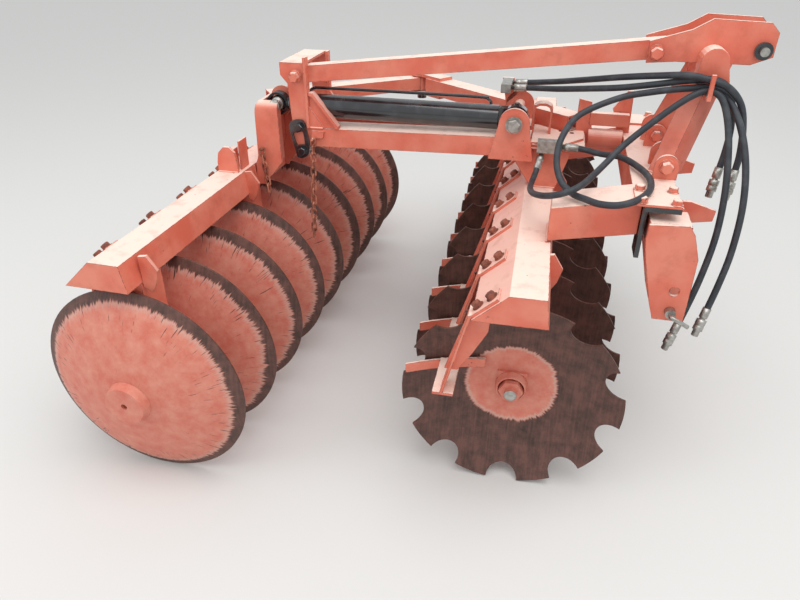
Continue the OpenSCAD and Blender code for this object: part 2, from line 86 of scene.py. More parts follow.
# Rust from dark to light, and the stains on plated and chromed steel
BOLT_RUST = ("#5d3128", "#b0664f")
CHAIN_RUST = ("#6b3527", "#d98a6e")
ZINC_STAIN = "#8f8c84"
PIN_STAIN = "#8a8580"
CHROME_HAZE = "#b4b6b8"

# What soil leaves of a disc's paint: how fine the teeth of the ring's ragged edge are and how deep, how far
# the ring lies beyond the radius that is set, and how wide and how pale the lifted edge of the paint is
WEAR = {
    "front": {"teeth": 18.0, "depth": 0.05, "beyond": 0.01, "lifted": 0.008, "pale": 0.85},
    "rear": {"teeth": 44.0, "depth": 0.06, "beyond": 0.015, "lifted": 0.013, "pale": 0.6},
}

# Turned profiles are pairs of radius and height along the axis
FERRULE = (
    (0, 0), (0.008, 0), (0.008, 0.01), (0.0125, 0.01), (0.0125, 0.024), (0.0115, 0.026), (0.0122, 0.03),
    (0.0122, 0.05), (0.0108, 0.053), (0, 0.053),
)
COUPLER = (
    (0, 0), (0.0122, 0), (0.0122, 0.03), (0.0085, 0.032), (0.0085, 0.036), (0.0145, 0.037), (0.0145, 0.052),
    (0.0135, 0.053), (0.0135, 0.056), (0.0145, 0.057), (0.0145, 0.07), (0.0105, 0.072), (0.0105, 0.088),
    (0.0085, 0.09), (0, 0.09),
)
# How far each of them reaches back over its hose
FERRULE_BACK = 0.018
COUPLER_BACK = 0.03

# The gooseneck's folded plate: its near and far side, its top, the outer radius of its fold, and the rod's
# slot in the top, with a place just outside and just inside each of its edges and the X at which it starts
NECK_NEAR = 0.8
NECK_FAR = 1.045
NECK_TOP = 1.0
NECK_FOLD = 0.028
NECK_SLOT = (0.8295, 0.83, 0.8925, 0.893)
NECK_SLOT_REAR = 0.103
NECK_HEIGHTS = (0.69, 0.7, 0.74, 0.765, 0.78, 0.8, 0.88, 0.96)
# Its rear and front edges, as pairs of height and X
NECK_REAR_EDGE = ((0.69, 0.062), (0.765, 0.062), (0.8, 0.074), (0.96, 0.078), (0.985, 0.082), (1.0, 0.09))
NECK_FRONT_EDGE = ((0.69, 0.092), (0.7, 0.096), (0.78, 0.166), (1.01, 0.166))

BEAD_STEP = 0.0022
BEAD_RIPPLE = 0.14

# The camera in the row's frame: its place, its lens in millimetres, and its turns in degrees
CAMERA_PLACE = (0.4375, -2.376, 1.594)
CAMERA_LENS = 29.2
CAMERA_TURNS = (("Z", 13.208), ("X", 58.786), ("Z", 0.2))
CAMERA_DEPTH = 1000

# Soft lamps: place, side of the lit square and power in watts
LAMPS = {
    "softbox_above": ((1.2, -1.5, 5.0), 4.0, 130.0),
    "softbox_left": ((-4.0, -3.0, 3.0), 3.0, 45.0),
}
LAMPS_AIM = Vector((0, 0, 0.5))

# Routes of the hoses from their port to their coupler
ROUTES = {
    "a": (
        (1.099, 0.794, 0.874), (1.094, 0.780, 0.850), (1.088, 0.752, 0.830), (1.082, 0.700, 0.823),
        (1.081, 0.630, 0.830), (1.090, 0.550, 0.848), (1.105, 0.480, 0.870), (1.127, 0.425, 0.890),
        (1.158, 0.395, 0.907), (1.194, 0.396, 0.921), (1.228, 0.430, 0.931), (1.256, 0.490, 0.938),
        (1.290, 0.555, 0.955), (1.335, 0.600, 0.997), (1.395, 0.618, 1.055), (1.460, 0.626, 1.115),
        (1.510, 0.632, 1.150), (1.545, 0.634, 1.158), (1.577, 0.624, 1.138), (1.600, 0.596, 1.080),
        (1.614, 0.560, 1.000), (1.622, 0.520, 0.900), (1.618, 0.480, 0.790), (1.598, 0.440, 0.680),
        (1.572, 0.408, 0.580), (1.552, 0.392, 0.510),
    ),
    "b": (
        (1.183, 0.800, 0.918), (1.230, 0.798, 0.916), (1.290, 0.768, 0.914), (1.346, 0.700, 0.930),
        (1.388, 0.620, 0.932), (1.412, 0.540, 0.932), (1.414, 0.470, 0.933), (1.400, 0.405, 0.933),
        (1.365, 0.345, 0.930), (1.320, 0.318, 0.924), (1.275, 0.335, 0.916), (1.242, 0.378, 0.908),
        (1.203, 0.432, 0.902), (1.168, 0.474, 0.922), (1.150, 0.510, 0.970), (1.158, 0.555, 1.026),
        (1.202, 0.636, 1.070), (1.308, 0.694, 1.110), (1.400, 0.684, 1.136), (1.480, 0.661, 1.155),
        (1.545, 0.655, 1.161), (1.592, 0.646, 1.140), (1.632, 0.604, 1.080), (1.660, 0.552, 0.990),
        (1.672, 0.505, 0.880), (1.664, 0.458, 0.760), (1.644, 0.422, 0.660), (1.622, 0.396, 0.570),
    ),
    "c": (
        (0.990, 0.962, 1.062), (1.030, 0.956, 1.065), (1.076, 0.929, 1.072), (1.134, 0.878, 1.085),
        (1.220, 0.808, 1.107), (1.310, 0.750, 1.128), (1.400, 0.706, 1.152), (1.480, 0.674, 1.174),
        (1.545, 0.656, 1.184), (1.588, 0.664, 1.166), (1.614, 0.666, 1.116), (1.625, 0.656, 1.050),
        (1.622, 0.640, 0.980), (1.612, 0.625, 0.915),
    ),
    "d": (
        (0.990, 1.022, 1.066), (1.035, 1.013, 1.071), (1.086, 0.977, 1.083), (1.144, 0.920, 1.101),
        (1.230, 0.840, 1.129), (1.320, 0.768, 1.156), (1.410, 0.704, 1.178), (1.484, 0.652, 1.193),
        (1.545, 0.633, 1.184), (1.592, 0.634, 1.166), (1.632, 0.640, 1.122), (1.650, 0.628, 1.060),
        (1.656, 0.612, 0.985), (1.650, 0.600, 0.920),
    ),
}

# Seams that show, each from end to end
SEAMS = {
    "frame": (
        ((0.276, 0.7995, 0.838), (0.276, 0.7995, 0.917)),
        ((0.927, 0.7995, 0.864), (0.952, 0.7995, 0.93)),
        ((1.073, 0.7995, 0.864), (1.057, 0.7995, 0.92)),
        ((1.422, 0.637, 0.9155), (1.465, 0.596, 0.9155)),
        ((1.465, 0.596, 0.9155), (1.488, 0.62, 0.9155)),
        ((1.08, 0.8195, 0.7655), (1.158, 0.8195, 0.7655)),
        ((1.149, 0.382, 0.768), (1.149, 0.508, 0.768)),
        ((1.3695, 0.5105, 0.82), (1.3695, 0.5105, 0.906)),
        ((1.37, 0.4395, 0.82), (1.37, 0.4395, 0.912)),
        ((1.412, 0.4405, 0.885), (1.486, 0.4405, 0.885)),
        ((0.278, 0.7995, 0.92), (0.335, 0.7995, 0.92)),
        ((1.066, 0.8175, 0.9125), (1.078, 0.8175, 0.9125)),
        ((1.062, 0.8145, 0.9005), (1.238, 0.8145, 0.9005)),
    ),
    "rear_carrier": (
        ((0.062, 0.7995, 0.694), (0.052, 0.7995, 0.762)),
        ((-0.028, 1.0395, 0.7655), (0.048, 1.0395, 0.7655)),
        ((-0.04, 0.6995, 0.7655), (0.036, 0.6995, 0.7655)),
    ),
}


def spot(x, y, z):
    """A point measured from the ground under the first rear disc's rim, in the row frame."""
    return GROUND_POINT + Vector((x, y, z))


def gang_matrix(gang):
    """Row-frame place of a gang: its first disc's rim plane is y = 0 and its axis stands over x = 0."""
    if gang == "front":
        return Matrix.Translation(spot(*FRONT_GANG)) @ Matrix.Rotation(TOE, 4, "Z")
    return Matrix.Translation(spot(0, 0, 0)) @ Matrix.Rotation(-TOE, 4, "Z")


def linear(code):
    """An sRGB hex colour as the linear colour that a socket takes."""
    channels = [int(code[i : i + 2], 16) / 255 for i in (1, 3, 5)]
    return [c / 12.92 if c <= 0.04045 else ((c + 0.055) / 1.055) ** 2.4 for c in channels] + [1.0]


def add(tree, kind, sockets=None, stops=None, **settings):
    """Adds one node to a tree with its settings; a socket is linked to another one or set to a value."""
    made = tree.nodes.new(kind)
    for name, value in settings.items():
        setattr(made, name, value)
    for key, value in (sockets or {}).items():
        if isinstance(value, bpy.types.NodeSocket):
            tree.links.new(value, made.inputs[key])
        else:
            made.inputs[key].default_value = value
    if stops:
        ramp = made.color_ramp
        while len(ramp.elements) < len(stops):
            ramp.elements.new(0.5)
        for element, (position, colour) in zip(ramp.elements, stops):
            element.position = position
            element.color = colour
    return made


def blank(name):
    """A new material with nothing in its tree, and that tree."""
    material = bpy.data.materials.new(name)
    material.use_nodes = True
    material.node_tree.nodes.clear()
    return material, material.node_tree


def grey(value):
    """A shade of grey as a colour ramp takes it."""
    return (value, value, value, 1.0)


def finish_with(tree, colour, roughness, height, depth, metallic=0.0):
    """Ends a tree in one shader whose bump is depth metres deep."""
    bump = add(tree, "ShaderNodeBump", {"Height": height, "Distance": depth, "Strength": 1.0})
    shader = add(
        tree,
        "ShaderNodeBsdfPrincipled",
        {"Base Color": colour, "Roughness": roughness, "Normal": bump.outputs[0], "Metallic": metallic},
    )
    add(tree, "ShaderNodeOutputMaterial", {"Surface": shader.outputs[0]})
    return shader


def alkyd_enamel(name, look):
    """Sprayed alkyd enamel on welded steel, edges chipped to rust; upward faces get a painted highlight,
    mixed towards a pale colour as if lit from above.
    """
    material, tree = blank(name)
    place = add(tree, "ShaderNodeTexCoord").outputs["Object"]
    # Patches of fading are a hand wide
    patches = add(tree, "ShaderNodeTexNoise", {"Vector": place, "Scale": 9.0, "Detail": 5.0}).outputs["Fac"]
    fading = add(tree, "ShaderNodeValToRGB", {"Fac": patches}, stops=[(0.36, grey(0)), (0.66, grey(1))])
    sockets = {0: fading.outputs[0], 6: linear(look.paint), 7: linear(look.paint_faded)}
    colour = add(tree, "ShaderNodeMix", sockets, data_type="RGBA").outputs[2]
    normal = add(tree, "ShaderNodeNewGeometry").outputs["Normal"]
    upward = add(tree, "ShaderNodeSeparateXYZ", {0: normal}).outputs["Z"]
    # Painted highlight: the more a face points up, the further its colour goes towards the pale top colour,
    # up to 84 %
    sockets = {"Value": upward, "From Min": 0.35, "From Max": 1.0, "To Max": 0.84}
    top_highlight = add(tree, "ShaderNodeMapRange", sockets)
    sockets = {0: top_highlight.outputs[0], 6: colour, 7: linear(look.paint_top_highlight)}
    colour = add(tree, "ShaderNodeMix", sockets, data_type="RGBA").outputs[2]
    # Grime gathers in clouds some 60 mm across
    sockets = {"Vector": place, "Scale": 17.0, "Detail": 8.0, "Roughness": 0.62}
    clouds = add(tree, "ShaderNodeTexNoise", sockets)
    sockets = {"Fac": clouds.outputs["Fac"]}
    grime = add(tree, "ShaderNodeValToRGB", sockets, stops=[(0.52, grey(0)), (0.8, grey(1))])
    dull = add(tree, "ShaderNodeMath", {0: grime.outputs[0], 1: 0.45}, operation="MULTIPLY").outputs[0]
    sockets = {0: dull, 6: colour, 7: linear(look.grime)}
    colour = add(tree, "ShaderNodeMix", sockets, data_type="RGBA").outputs[2]
    # Chips: the bevel's normal leaves the face's own normal only within 4 mm of an edge
    bevel = add(tree, "ShaderNodeBevel", {"Radius": 0.004}, samples=4).outputs[0]
    turn = add(tree, "ShaderNodeVectorMath", {0: bevel, 1: normal}, operation="DOT_PRODUCT").outputs["Value"]
    sockets = {"Value": turn, "From Min": 0.995, "From Max": 0.8, "To Max": 0.22}
    edge = add(tree, "ShaderNodeMapRange", sockets)
    sockets = {"Vector": place, "Scale": 55.0, "Detail": 9.0, "Roughness": 0.68}
    specks = add(tree, "ShaderNodeTexNoise", sockets)
    sockets = {0: specks.outputs["Fac"], 1: edge.outputs[0]}
    worn = add(tree, "ShaderNodeMath", sockets, operation="ADD").outputs[0]
    sockets = {"Fac": worn}
    chips = add(tree, "ShaderNodeValToRGB", sockets, stops=[(0.665, grey(0)), (0.7, grey(1))]).outputs[0]
    sockets = {0: chips, 6: colour, 7: linear(look.rust_dark)}
    colour = add(tree, "ShaderNodeMix", sockets, data_type="RGBA").outputs[2]
    sockets = {"Value": clouds.outputs["Fac"], "To Min": 0.38, "To Max": 0.62}
    rough = add(tree, "ShaderNodeMapRange", sockets).outputs[0]
    sockets = {0: specks.outputs["Fac"], 1: chips}
    height = add(tree, "ShaderNodeMath", sockets, operation="SUBTRACT").outputs[0]
    finish_with(tree, colour, rough, height, 0.0006)
    return material


def disc_place(tree, place, gang):
    """A point's place from the gang's axle, its radius, and its way round its disc, other for each disc."""
    corner = gang_matrix(gang).translation
    axle = {
        "Vector": place,
        "Location": (corner.x, corner.y, AXLE_HEIGHT),
        "Rotation": (0, 0, TOE if gang == "front" else -TOE),
    }
    own = add(tree, "ShaderNodeMapping", axle, vector_type="TEXTURE").outputs[0]
    parts = add(tree, "ShaderNodeSeparateXYZ", {0: own}).outputs
    flat = add(tree, "ShaderNodeCombineXYZ", {"X": parts["X"], "Z": parts["Z"]}).outputs[0]
    radius = add(tree, "ShaderNodeVectorMath", {0: flat}, operation="LENGTH").outputs["Value"]
    way = add(tree, "ShaderNodeVectorMath", {0: flat}, operation="NORMALIZE").outputs[0]
    # Which disc of the gang this is, so that no two are worn alike
    number = add(tree, "ShaderNodeMath", {0: parts["Y"], 1: DISC_PITCH}, operation="DIVIDE").outputs[0]
    number = add(tree, "ShaderNodeMath", {0: number}, operation="ROUND").outputs[0]
    shift = add(tree, "ShaderNodeCombineXYZ", {"X": number, "Y": number, "Z": number}).outputs[0]
    shift = add(tree, "ShaderNodeVectorMath", {0: shift, "Scale": 7.31}, operation="SCALE").outputs[0]
    round_way = add(tree, "ShaderNodeVectorMath", {0: way, 1: shift}, operation="ADD").outputs[0]
    return own, radius, round_way


def soil_worn_disc(name, look, gang):
    """Spring-steel disc, painted once and scoured by soil: bare rusty steel beyond a ragged ring."""
    material, tree = blank(name)
    place = add(tree, "ShaderNodeTexCoord").outputs["Object"]
    own, radius, round_way = disc_place(tree, place, gang)
    wear = WEAR[gang]
    # Ragged edge: fine teeth round the ring, and slow waves as wide as a hand
    sockets = {"Vector": round_way, "Scale": wear["teeth"], "Detail": 6.0, "Roughness": 0.7}
    teeth = add(tree, "ShaderNodeTexNoise", sockets).outputs["Fac"]
    waves = add(tree, "ShaderNodeTexNoise", {"Vector": round_way, "Scale": 1.7, "Detail": 2.0}).outputs["Fac"]
    ragged = add(tree, "ShaderNodeMath", {0: teeth, 1: wear["depth"]}, operation="MULTIPLY").outputs[0]
    wavy = add(tree, "ShaderNodeMath", {0: waves, 1: 0.020, 2: ragged}, operation="MULTIPLY_ADD").outputs[0]
    reach = add(tree, "ShaderNodeMath", {0: radius, 1: wavy}, operation="ADD").outputs[0]
    ring = (look.front_paint_r if gang == "front" else look.rear_paint_r) + wear["beyond"]
    sockets = {"Value": reach, "From Min": ring + 0.022, "From Max": ring + 0.028}
    bare = add(tree, "ShaderNodeMapRange", sockets).outputs[0]
    # Scratches run out from the middle: long in radius, a millimetre or two wide round the ring
    stretch = add(tree, "ShaderNodeVectorMath", {0: round_way, "Scale": 60.0}, operation="SCALE").outputs[0]
    long_way = add(tree, "ShaderNodeVectorMath", {0: own, "Scale": 14.0}, operation="SCALE").outputs[0]
    streak_place = add(tree, "ShaderNodeVectorMath", {0: stretch, 1: long_way}, operation="ADD").outputs[0]
    sockets = {"Vector": streak_place, "Scale": 1.0, "Detail": 3.0}
    streaks = add(tree, "ShaderNodeTexNoise", sockets).outputs["Fac"]
    sockets = {"Value": radius, "From Min": 0.12, "From Max": 0.32, "To Max": 0.11}
    outward = add(tree, "ShaderNodeMapRange", sockets)
    scratched = add(tree, "ShaderNodeMath", {0: streaks, 1: outward.outputs[0]}, operation="ADD").outputs[0]
    sockets = {"Fac": scratched}
    scratch = add(tree, "ShaderNodeValToRGB", sockets, stops=[(0.73, grey(0)), (0.77, grey(1))]).outputs[0]
    scour = add(tree, "ShaderNodeMath", {0: bare, 1: scratch}, operation="MAXIMUM").outputs[0]
    # Paint under dust, and rust in blooms some 40 mm across
    sockets = {"Vector": place, "Scale": 24.0, "Detail": 9.0, "Roughness": 0.66}
    blooms = add(tree, "ShaderNodeTexNoise", sockets).outputs["Fac"]
    sockets = {"Fac": blooms}
    dust = add(tree, "ShaderNodeValToRGB", sockets, stops=[(0.35, grey(0)), (0.72, grey(1))]).outputs[0]
    sockets = {0: dust, 6: linear(look.disc_paint), 7: linear(look.disc_faded)}
    paint = add(tree, "ShaderNodeMix", sockets, data_type="RGBA").outputs[2]
    # Marks run down the scoured steel, a few millimetres apart
    down = add(tree, "ShaderNodeMapping", {"Vector": own, "Scale": (150.0, 20.0, 9.0)}).outputs[0]
    lines = add(tree, "ShaderNodeTexNoise", {"Vector": down, "Scale": 1.0, "Detail": 4.0}).outputs["Fac"]
    shine = add(tree, "ShaderNodeMapRange", {"Value": lines, "From Min": 0.35, "From Max": 0.75}).outputs[0]
    shine = add(tree, "ShaderNodeMath", {0: shine, 1: 0.5, 2: dust}, operation="MULTIPLY_ADD", use_clamp=True)
    sockets = {0: shine.outputs[0], 6: linear(look.worn_dark), 7: linear(look.worn_light)}
    steel = add(tree, "ShaderNodeMix", sockets, data_type="RGBA").outputs[2]
    # The paint lifts along the ring and shows a pale edge
    lift = add(tree, "ShaderNodeMath", {0: reach, 1: ring + 0.019}, operation="SUBTRACT").outputs[0]
    lift = add(tree, "ShaderNodeMath", {0: lift}, operation="ABSOLUTE").outputs[0]
    sockets = {"Value": lift, "From Max": wear["lifted"], "To Min": wear["pale"], "To Max": 0.0}
    lift = add(tree, "ShaderNodeMapRange", sockets)
    sockets = {0: lift.outputs[0], 6: paint, 7: linear(look.lifted)}
    paint = add(tree, "ShaderNodeMix", sockets, data_type="RGBA").outputs[2]
    colour = add(tree, "ShaderNodeMix", {0: scour, 6: paint, 7: steel}, data_type="RGBA").outputs[2]
    rough = add(tree, "ShaderNodeMapRange", {"Value": blooms, "To Min": 0.42, "To Max": 0.72}).outputs[0]
    film = add(tree, "ShaderNodeMath", {0: blooms, 1: scour}, operation="SUBTRACT").outputs[0]
    finish_with(tree, colour, rough, film, 0.0005)
    return material


def rusted_steel(name, dark, light):
    """Hot-rolled steel left bare in the field: brown rust in blooms with a matt, pitted skin."""
    material, tree = blank(name)
    place = add(tree, "ShaderNodeTexCoord").outputs["Object"]
    # Blooms are some 25 mm across, pits about 4 mm
    sockets = {"Vector": place, "Scale": 40.0, "Detail": 9.0, "Roughness": 0.7}
    blooms = add(tree, "ShaderNodeTexNoise", sockets).outputs["Fac"]
    sockets = {"Fac": blooms}
    shade = add(tree, "ShaderNodeValToRGB", sockets, stops=[(0.36, linear(dark)), (0.68, linear(light))])
    pits = add(tree, "ShaderNodeTexVoronoi", {"Vector": place, "Scale": 260.0}).outputs["Distance"]
    rough = add(tree, "ShaderNodeMapRange", {"Value": blooms, "To Min": 0.55, "To Max": 0.85}).outputs[0]
    finish_with(tree, shade.outputs[0], rough, pits, 0.0005)
    return material


def turned_steel(name, bright, stained, roughness):
    """Bright-drawn or plated steel: a metal with stains some 15 mm across that dull it."""
    material, tree = blank(name)
    place = add(tree, "ShaderNodeTexCoord").outputs["Object"]
    stains = add(tree, "ShaderNodeTexNoise", {"Vector": place, "Scale": 70.0, "Detail": 6.0}).outputs["Fac"]
    sockets = {"Fac": stains}
    shade = add(tree, "ShaderNodeValToRGB", sockets, stops=[(0.42, linear(bright)), (0.74, linear(stained))])
    sockets = {"Value": stains, "To Min": roughness, "To Max": roughness + 0.3}
    rough = add(tree, "ShaderNodeMapRange", sockets).outputs[0]
    finish_with(tree, shade.outputs[0], rough, stains, 0.0002, 1.0)
    return material


def chromed_rod(name, look):
    """Hard-chromed piston rod with its eye left in black enamel: a mirror that ends in gloss black."""
    material, tree = blank(name)
    place = add(tree, "ShaderNodeTexCoord").outputs["Object"]
    along = add(tree, "ShaderNodeSeparateXYZ", {0: place}).outputs["X"]
    eye = add(tree, "ShaderNodeMath", {0: along, 1: spot(0.195, 0, 0).x}, operation="LESS_THAN").outputs[0]
    marks = add(tree, "ShaderNodeTexNoise", {"Vector": place, "Scale": 90.0, "Detail": 6.0}).outputs["Fac"]
    sockets = {0: marks, 6: linear(look.chrome), 7: linear(CHROME_HAZE)}
    bright = add(tree, "ShaderNodeMix", sockets, data_type="RGBA").outputs[2]
    sockets = {0: eye, 6: bright, 7: linear(look.black)}
    colour = add(tree, "ShaderNodeMix", sockets, data_type="RGBA").outputs[2]
    metal = add(tree, "ShaderNodeMath", {0: 1.0, 1: eye}, operation="SUBTRACT").outputs[0]
    rough = add(tree, "ShaderNodeMath", {0: eye, 1: 0.22, 2: 0.09}, operation="MULTIPLY_ADD").outputs[0]
    finish_with(tree, colour, rough, marks, 0.0001, metal)
    return material


def gloss_black(name, look):
    """Black chassis enamel on the cylinder: smooth and glossy, with dust lying in thin clouds."""
    material, tree = blank(name)
    place = add(tree, "ShaderNodeTexCoord").outputs["Object"]
    clouds = add(tree, "ShaderNodeTexNoise", {"Vector": place, "Scale": 22.0, "Detail": 8.0}).outputs["Fac"]
    sockets = {"Fac": clouds}
    dust = add(tree, "ShaderNodeValToRGB", sockets, stops=[(0.45, grey(0)), (0.85, grey(0.5))]).outputs[0]
    sockets = {0: dust, 6: linear(look.black), 7: linear(look.dust)}
    colour = add(tree, "ShaderNodeMix", sockets, data_type="RGBA").outputs[2]
    rough = add(tree, "ShaderNodeMapRange", {"Value": clouds, "To Min": 0.1, "To Max": 0.36}).outputs[0]
    shader = finish_with(tree, colour, rough, clouds, 0.0001)
    shader.inputs["Coat Weight"].default_value = 1.0
    shader.inputs["Coat Roughness"].default_value = 0.12
    return material


def hose_rubber(name, look):
    """Wrapped cover of a wire-braided hydraulic hose: matt black rubber, a cloth imprint and dust."""
    material, tree = blank(name)
    place = add(tree, "ShaderNodeTexCoord").outputs["Object"]
    clouds = add(tree, "ShaderNodeTexNoise", {"Vector": place, "Scale": 28.0, "Detail": 7.0}).outputs["Fac"]
    sockets = {"Fac": clouds}
    dust = add(tree, "ShaderNodeValToRGB", sockets, stops=[(0.48, grey(0)), (0.8, grey(0.55))]).outputs[0]
    sockets = {0: dust, 6: linear(look.rubber), 7: linear(look.dust)}
    colour = add(tree, "ShaderNodeMix", sockets, data_type="RGBA").outputs[2]
    # The cloth wrap leaves a weave under a millimetre wide
    weave = add(tree, "ShaderNodeTexVoronoi", {"Vector": place, "Scale": 1300.0}).outputs["Distance"]
    rough = add(tree, "ShaderNodeMapRange", {"Value": clouds, "To Min": 0.34, "To Max": 0.62}).outputs[0]
    finish_with(tree, colour, rough, weave, 0.0003)
    return material


def give(material, *names):
    """Puts one material on each CAD node named."""
    for name in names:
        slots = NODES[name].data.materials
        slots.clear()
        slots.append(material)


def shared(make, name, *settings):
    """The material of this name, made the first time that it is asked for."""
    return bpy.data.materials.get(name) or make(name, *settings)


def finishes(context):
    """The finishes of the steel pieces: each one's material, and the name of the slot that it belongs to."""
    look = context.scene.harrow_colours
    zinc = (look.steel, ZINC_STAIN)
    return {
        "enamel": (shared(alkyd_enamel, "orange_alkyd_enamel", look), "paint"),
        "black": (shared(gloss_black, "black_enamel", look), "black_steel"),
        "worn_disc": (shared(soil_worn_disc, "soil_worn_front_disc", look, "front"), "paint"),
        "rusty_bolt": (shared(rusted_steel, "rusted_bolt_steel", *BOLT_RUST), "rusty_steel"),
        "rusty_chain": (shared(rusted_steel, "rusted_painted_chain_steel", *CHAIN_RUST), "rusty_steel"),
        "zinc_fitting": (shared(turned_steel, "zinc_plated_fittings", *zinc, 0.3), "pin_steel"),
        "zinc_bolt": (shared(turned_steel, "zinc_plated_bolts", *zinc, 0.24), "pin_steel"),
        "bright_bar": (shared(turned_steel, "bright_bar_steel", *zinc, 0.22), "pin_steel"),
        "plated_pin": (shared(turned_steel, "plated_pin_steel", look.steel, PIN_STAIN, 0.28), "pin_steel"),
    }


def piece(name, body, finish, shape, smooth=False, bevel=0.0):
    """A closed mesh in the row frame, its normals outward, that rides on a body and wears a finish."""
    material, slot = finish
    points, faces = shape
    mesh = bpy.data.meshes.new(name)
    mesh.from_pydata([tuple(p) for p in points], [], faces)
    shaped = bmesh.new()
    shaped.from_mesh(mesh)
    bmesh.ops.recalc_face_normals(shaped, faces=shaped.faces)
    if bevel:
        sharp = [e for e in shaped.edges if len(e.link_faces) == 2 and e.calc_face_angle() > 0.5]
        bmesh.ops.bevel(shaped, geom=sharp, offset=bevel, segments=2, profile=0.6, affect="EDGES")
    shaped.to_mesh(mesh)
    shaped.free()
    if smooth:
        mesh.shade_smooth()
    else:
        mesh.shade_flat()
    mesh.materials.append(material)
    made = bpy.data.objects.new(name, mesh)
    bpy.context.scene.collection.objects.link(made)
    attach(made, body)
    return made


def joined(*shapes):
    """Several closed shapes as one list of points and faces."""
    points, faces = [], []
    for more_points, more_faces in shapes:
        start = len(points)
        points += list(more_points)
        faces += [[i + start for i in face] for face in more_faces]
    return points, faces


def slab(outline, start, thick, axes="xz"):
    """A flat plate from an outline: in X and Z from a start in Y, in X and Y from Z, or in Y and Z from X."""
    points = []
    for level in (start, start + thick):
        for a, b in outline:
            points.append(spot(*{"xz": (a, level, b), "xy": (a, b, level), "yz": (level, a, b)}[axes]))
    n = len(outline)
    faces = [list(range(n)), list(range(2 * n - 1, n - 1, -1))]
    faces += [[i, (i + 1) % n, n + (i + 1) % n, n + i] for i in range(n)]
    return points, faces


def block(x, y, z, length, width, height):
    """A box from its lowest corner."""
    return slab([(x, z), (x + length, z), (x + length, z + height), (x, z + height)], y, width)


def arc(x, z, radius, first, last, steps):
    """Points of an arc round x, z, between two angles in degrees."""
    turns = [math.radians(first + (last - first) * k / steps) for k in range(steps + 1)]
    return [(x + radius * math.cos(a), z + radius * math.sin(a)) for a in turns]


def lathe(foot, way, profile, steps=24, bored=False):
    """A turned shape along a direction from its foot; a bored one's profile closes on itself."""
    way = Vector(way).normalized()
    side = way.orthogonal().normalized()
    other = way.cross(side)
    points, faces, n = [], [], len(profile)
    for k in range(steps):
        a = 2 * math.pi * k / steps
        out = math.cos(a) * side + math.sin(a) * other
        points += [foot + way * h + out * r for r, h in profile]
        j = (k + 1) % steps
        faces += [[k * n + i, j * n + i, j * n + i + 1, k * n + i + 1] for i in range(n - 1)]
    if bored:
        nexts = [(k + 1) % steps for k in range(steps)]
        faces += [[k * n, k * n + n - 1, j * n + n - 1, j * n] for k, j in enumerate(nexts)]
    else:
        faces += [[k * n for k in range(steps)], [k * n + n - 1 for k in range(steps)]]
    return points, faces


def walled(n, closed):
    """Faces of a wall: n places along it, two rows of points on its outside and then two on its inside."""
    faces = []
    for i in range(n if closed else n - 1):
        j = (i + 1) % n
        faces += [[i, j, n + j, n + i], [2 * n + i, 3 * n + i, 3 * n + j, 2 * n + j]]
        faces += [[i, 2 * n + i, 2 * n + j, j], [n + i, n + j, 3 * n + j, 3 * n + i]]
    if not closed:
        faces += [[0, n, 3 * n, 2 * n], [n - 1, 3 * n - 1, 4 * n - 1, 2 * n - 1]]
    return faces


def swept(path, radius, sides=12, ripple=0.0):
    """A round bar along points, its rings turned as little as possible; a ripple swells every other ring."""
    path = [Vector(p) for p in path]
    last = len(path) - 1
    ways = [(path[min(i + 1, last)] - path[max(i - 1, 0)]).normalized() for i in range(last + 1)]
    side = ways[0].orthogonal().normalized()
    points, faces = [], []
    for i, (centre, way) in enumerate(zip(path, ways)):
        side = (side - way * side.dot(way)).normalized()
        other = way.cross(side)
        r = radius * (1 + ripple * (i % 2))
        for k in range(sides):
            a = 2 * math.pi * k / sides
            points.append(centre + r * (math.cos(a) * side + math.sin(a) * other))
    for i in range(last):
        for k in range(sides):
            m = (k + 1) % sides
            faces.append([i * sides + k, i * sides + m, (i + 1) * sides + m, (i + 1) * sides + k])
    faces += [list(range(sides)), [last * sides + k for k in range(sides)]]
    return points, faces


def smoothed(route, steps=8):
    """The points of a curve that passes through every point of a route."""
    ends = [route[0], *route, route[-1]]
    made = []
    for a, b, c, d in zip(ends, ends[1:], ends[2:], ends[3:]):
        for k in range(steps):
            t = k / steps
            bend = (2 * a - 5 * b + 4 * c - d) * t * t + (3 * b - a - 3 * c + d) * t**3
            made.append((2 * b + (c - a) * t + bend) / 2)
    return made + [route[-1]]


def rounded(corners, steps=4):
    """A closed outline drawn as a smooth curve through its corners, each a pair of sizes."""
    loop = [Vector((a, b, 0.0)) for a, b in corners]
    n = len(loop)
    made = []
    for i in range(n):
        four = [loop[(i + k) % n] for k in (-1, 0, 1, 2)]
        made += smoothed(four, steps)[steps : 2 * steps]
    return [(p.x, p.y) for p in made]


def between(a, b, step):
    """Evenly spaced points from a to b."""
    count = max(2, round((b - a).length / step))
    return [a.lerp(b, i / count) for i in range(count + 1)]


def at_height(edge, z):
    """The X of an edge at a height, where the edge runs straight between its pairs of height and X."""
    for (z0, x0), (z1, x1) in zip(edge, edge[1:]):
        if z <= z1:
            return x0 + (x1 - x0) * max(0.0, z - z0) / (z1 - z0)
    return edge[-1][1]


def neck_section(inset):
    """A line round the gooseneck's plate in Y and Z: up the near side, over the top and down the far side."""
    side = [(NECK_NEAR + inset, z) for z in NECK_HEIGHTS]
    fold = arc(NECK_NEAR + NECK_FOLD, NECK_TOP - NECK_FOLD, NECK_FOLD - inset, 180, 90, 9)
    slot = [(y, NECK_TOP - inset) for y in NECK_SLOT]
    return side + fold + slot + [(NECK_NEAR + NECK_FAR - y, z) for y, z in reversed(side + fold)]


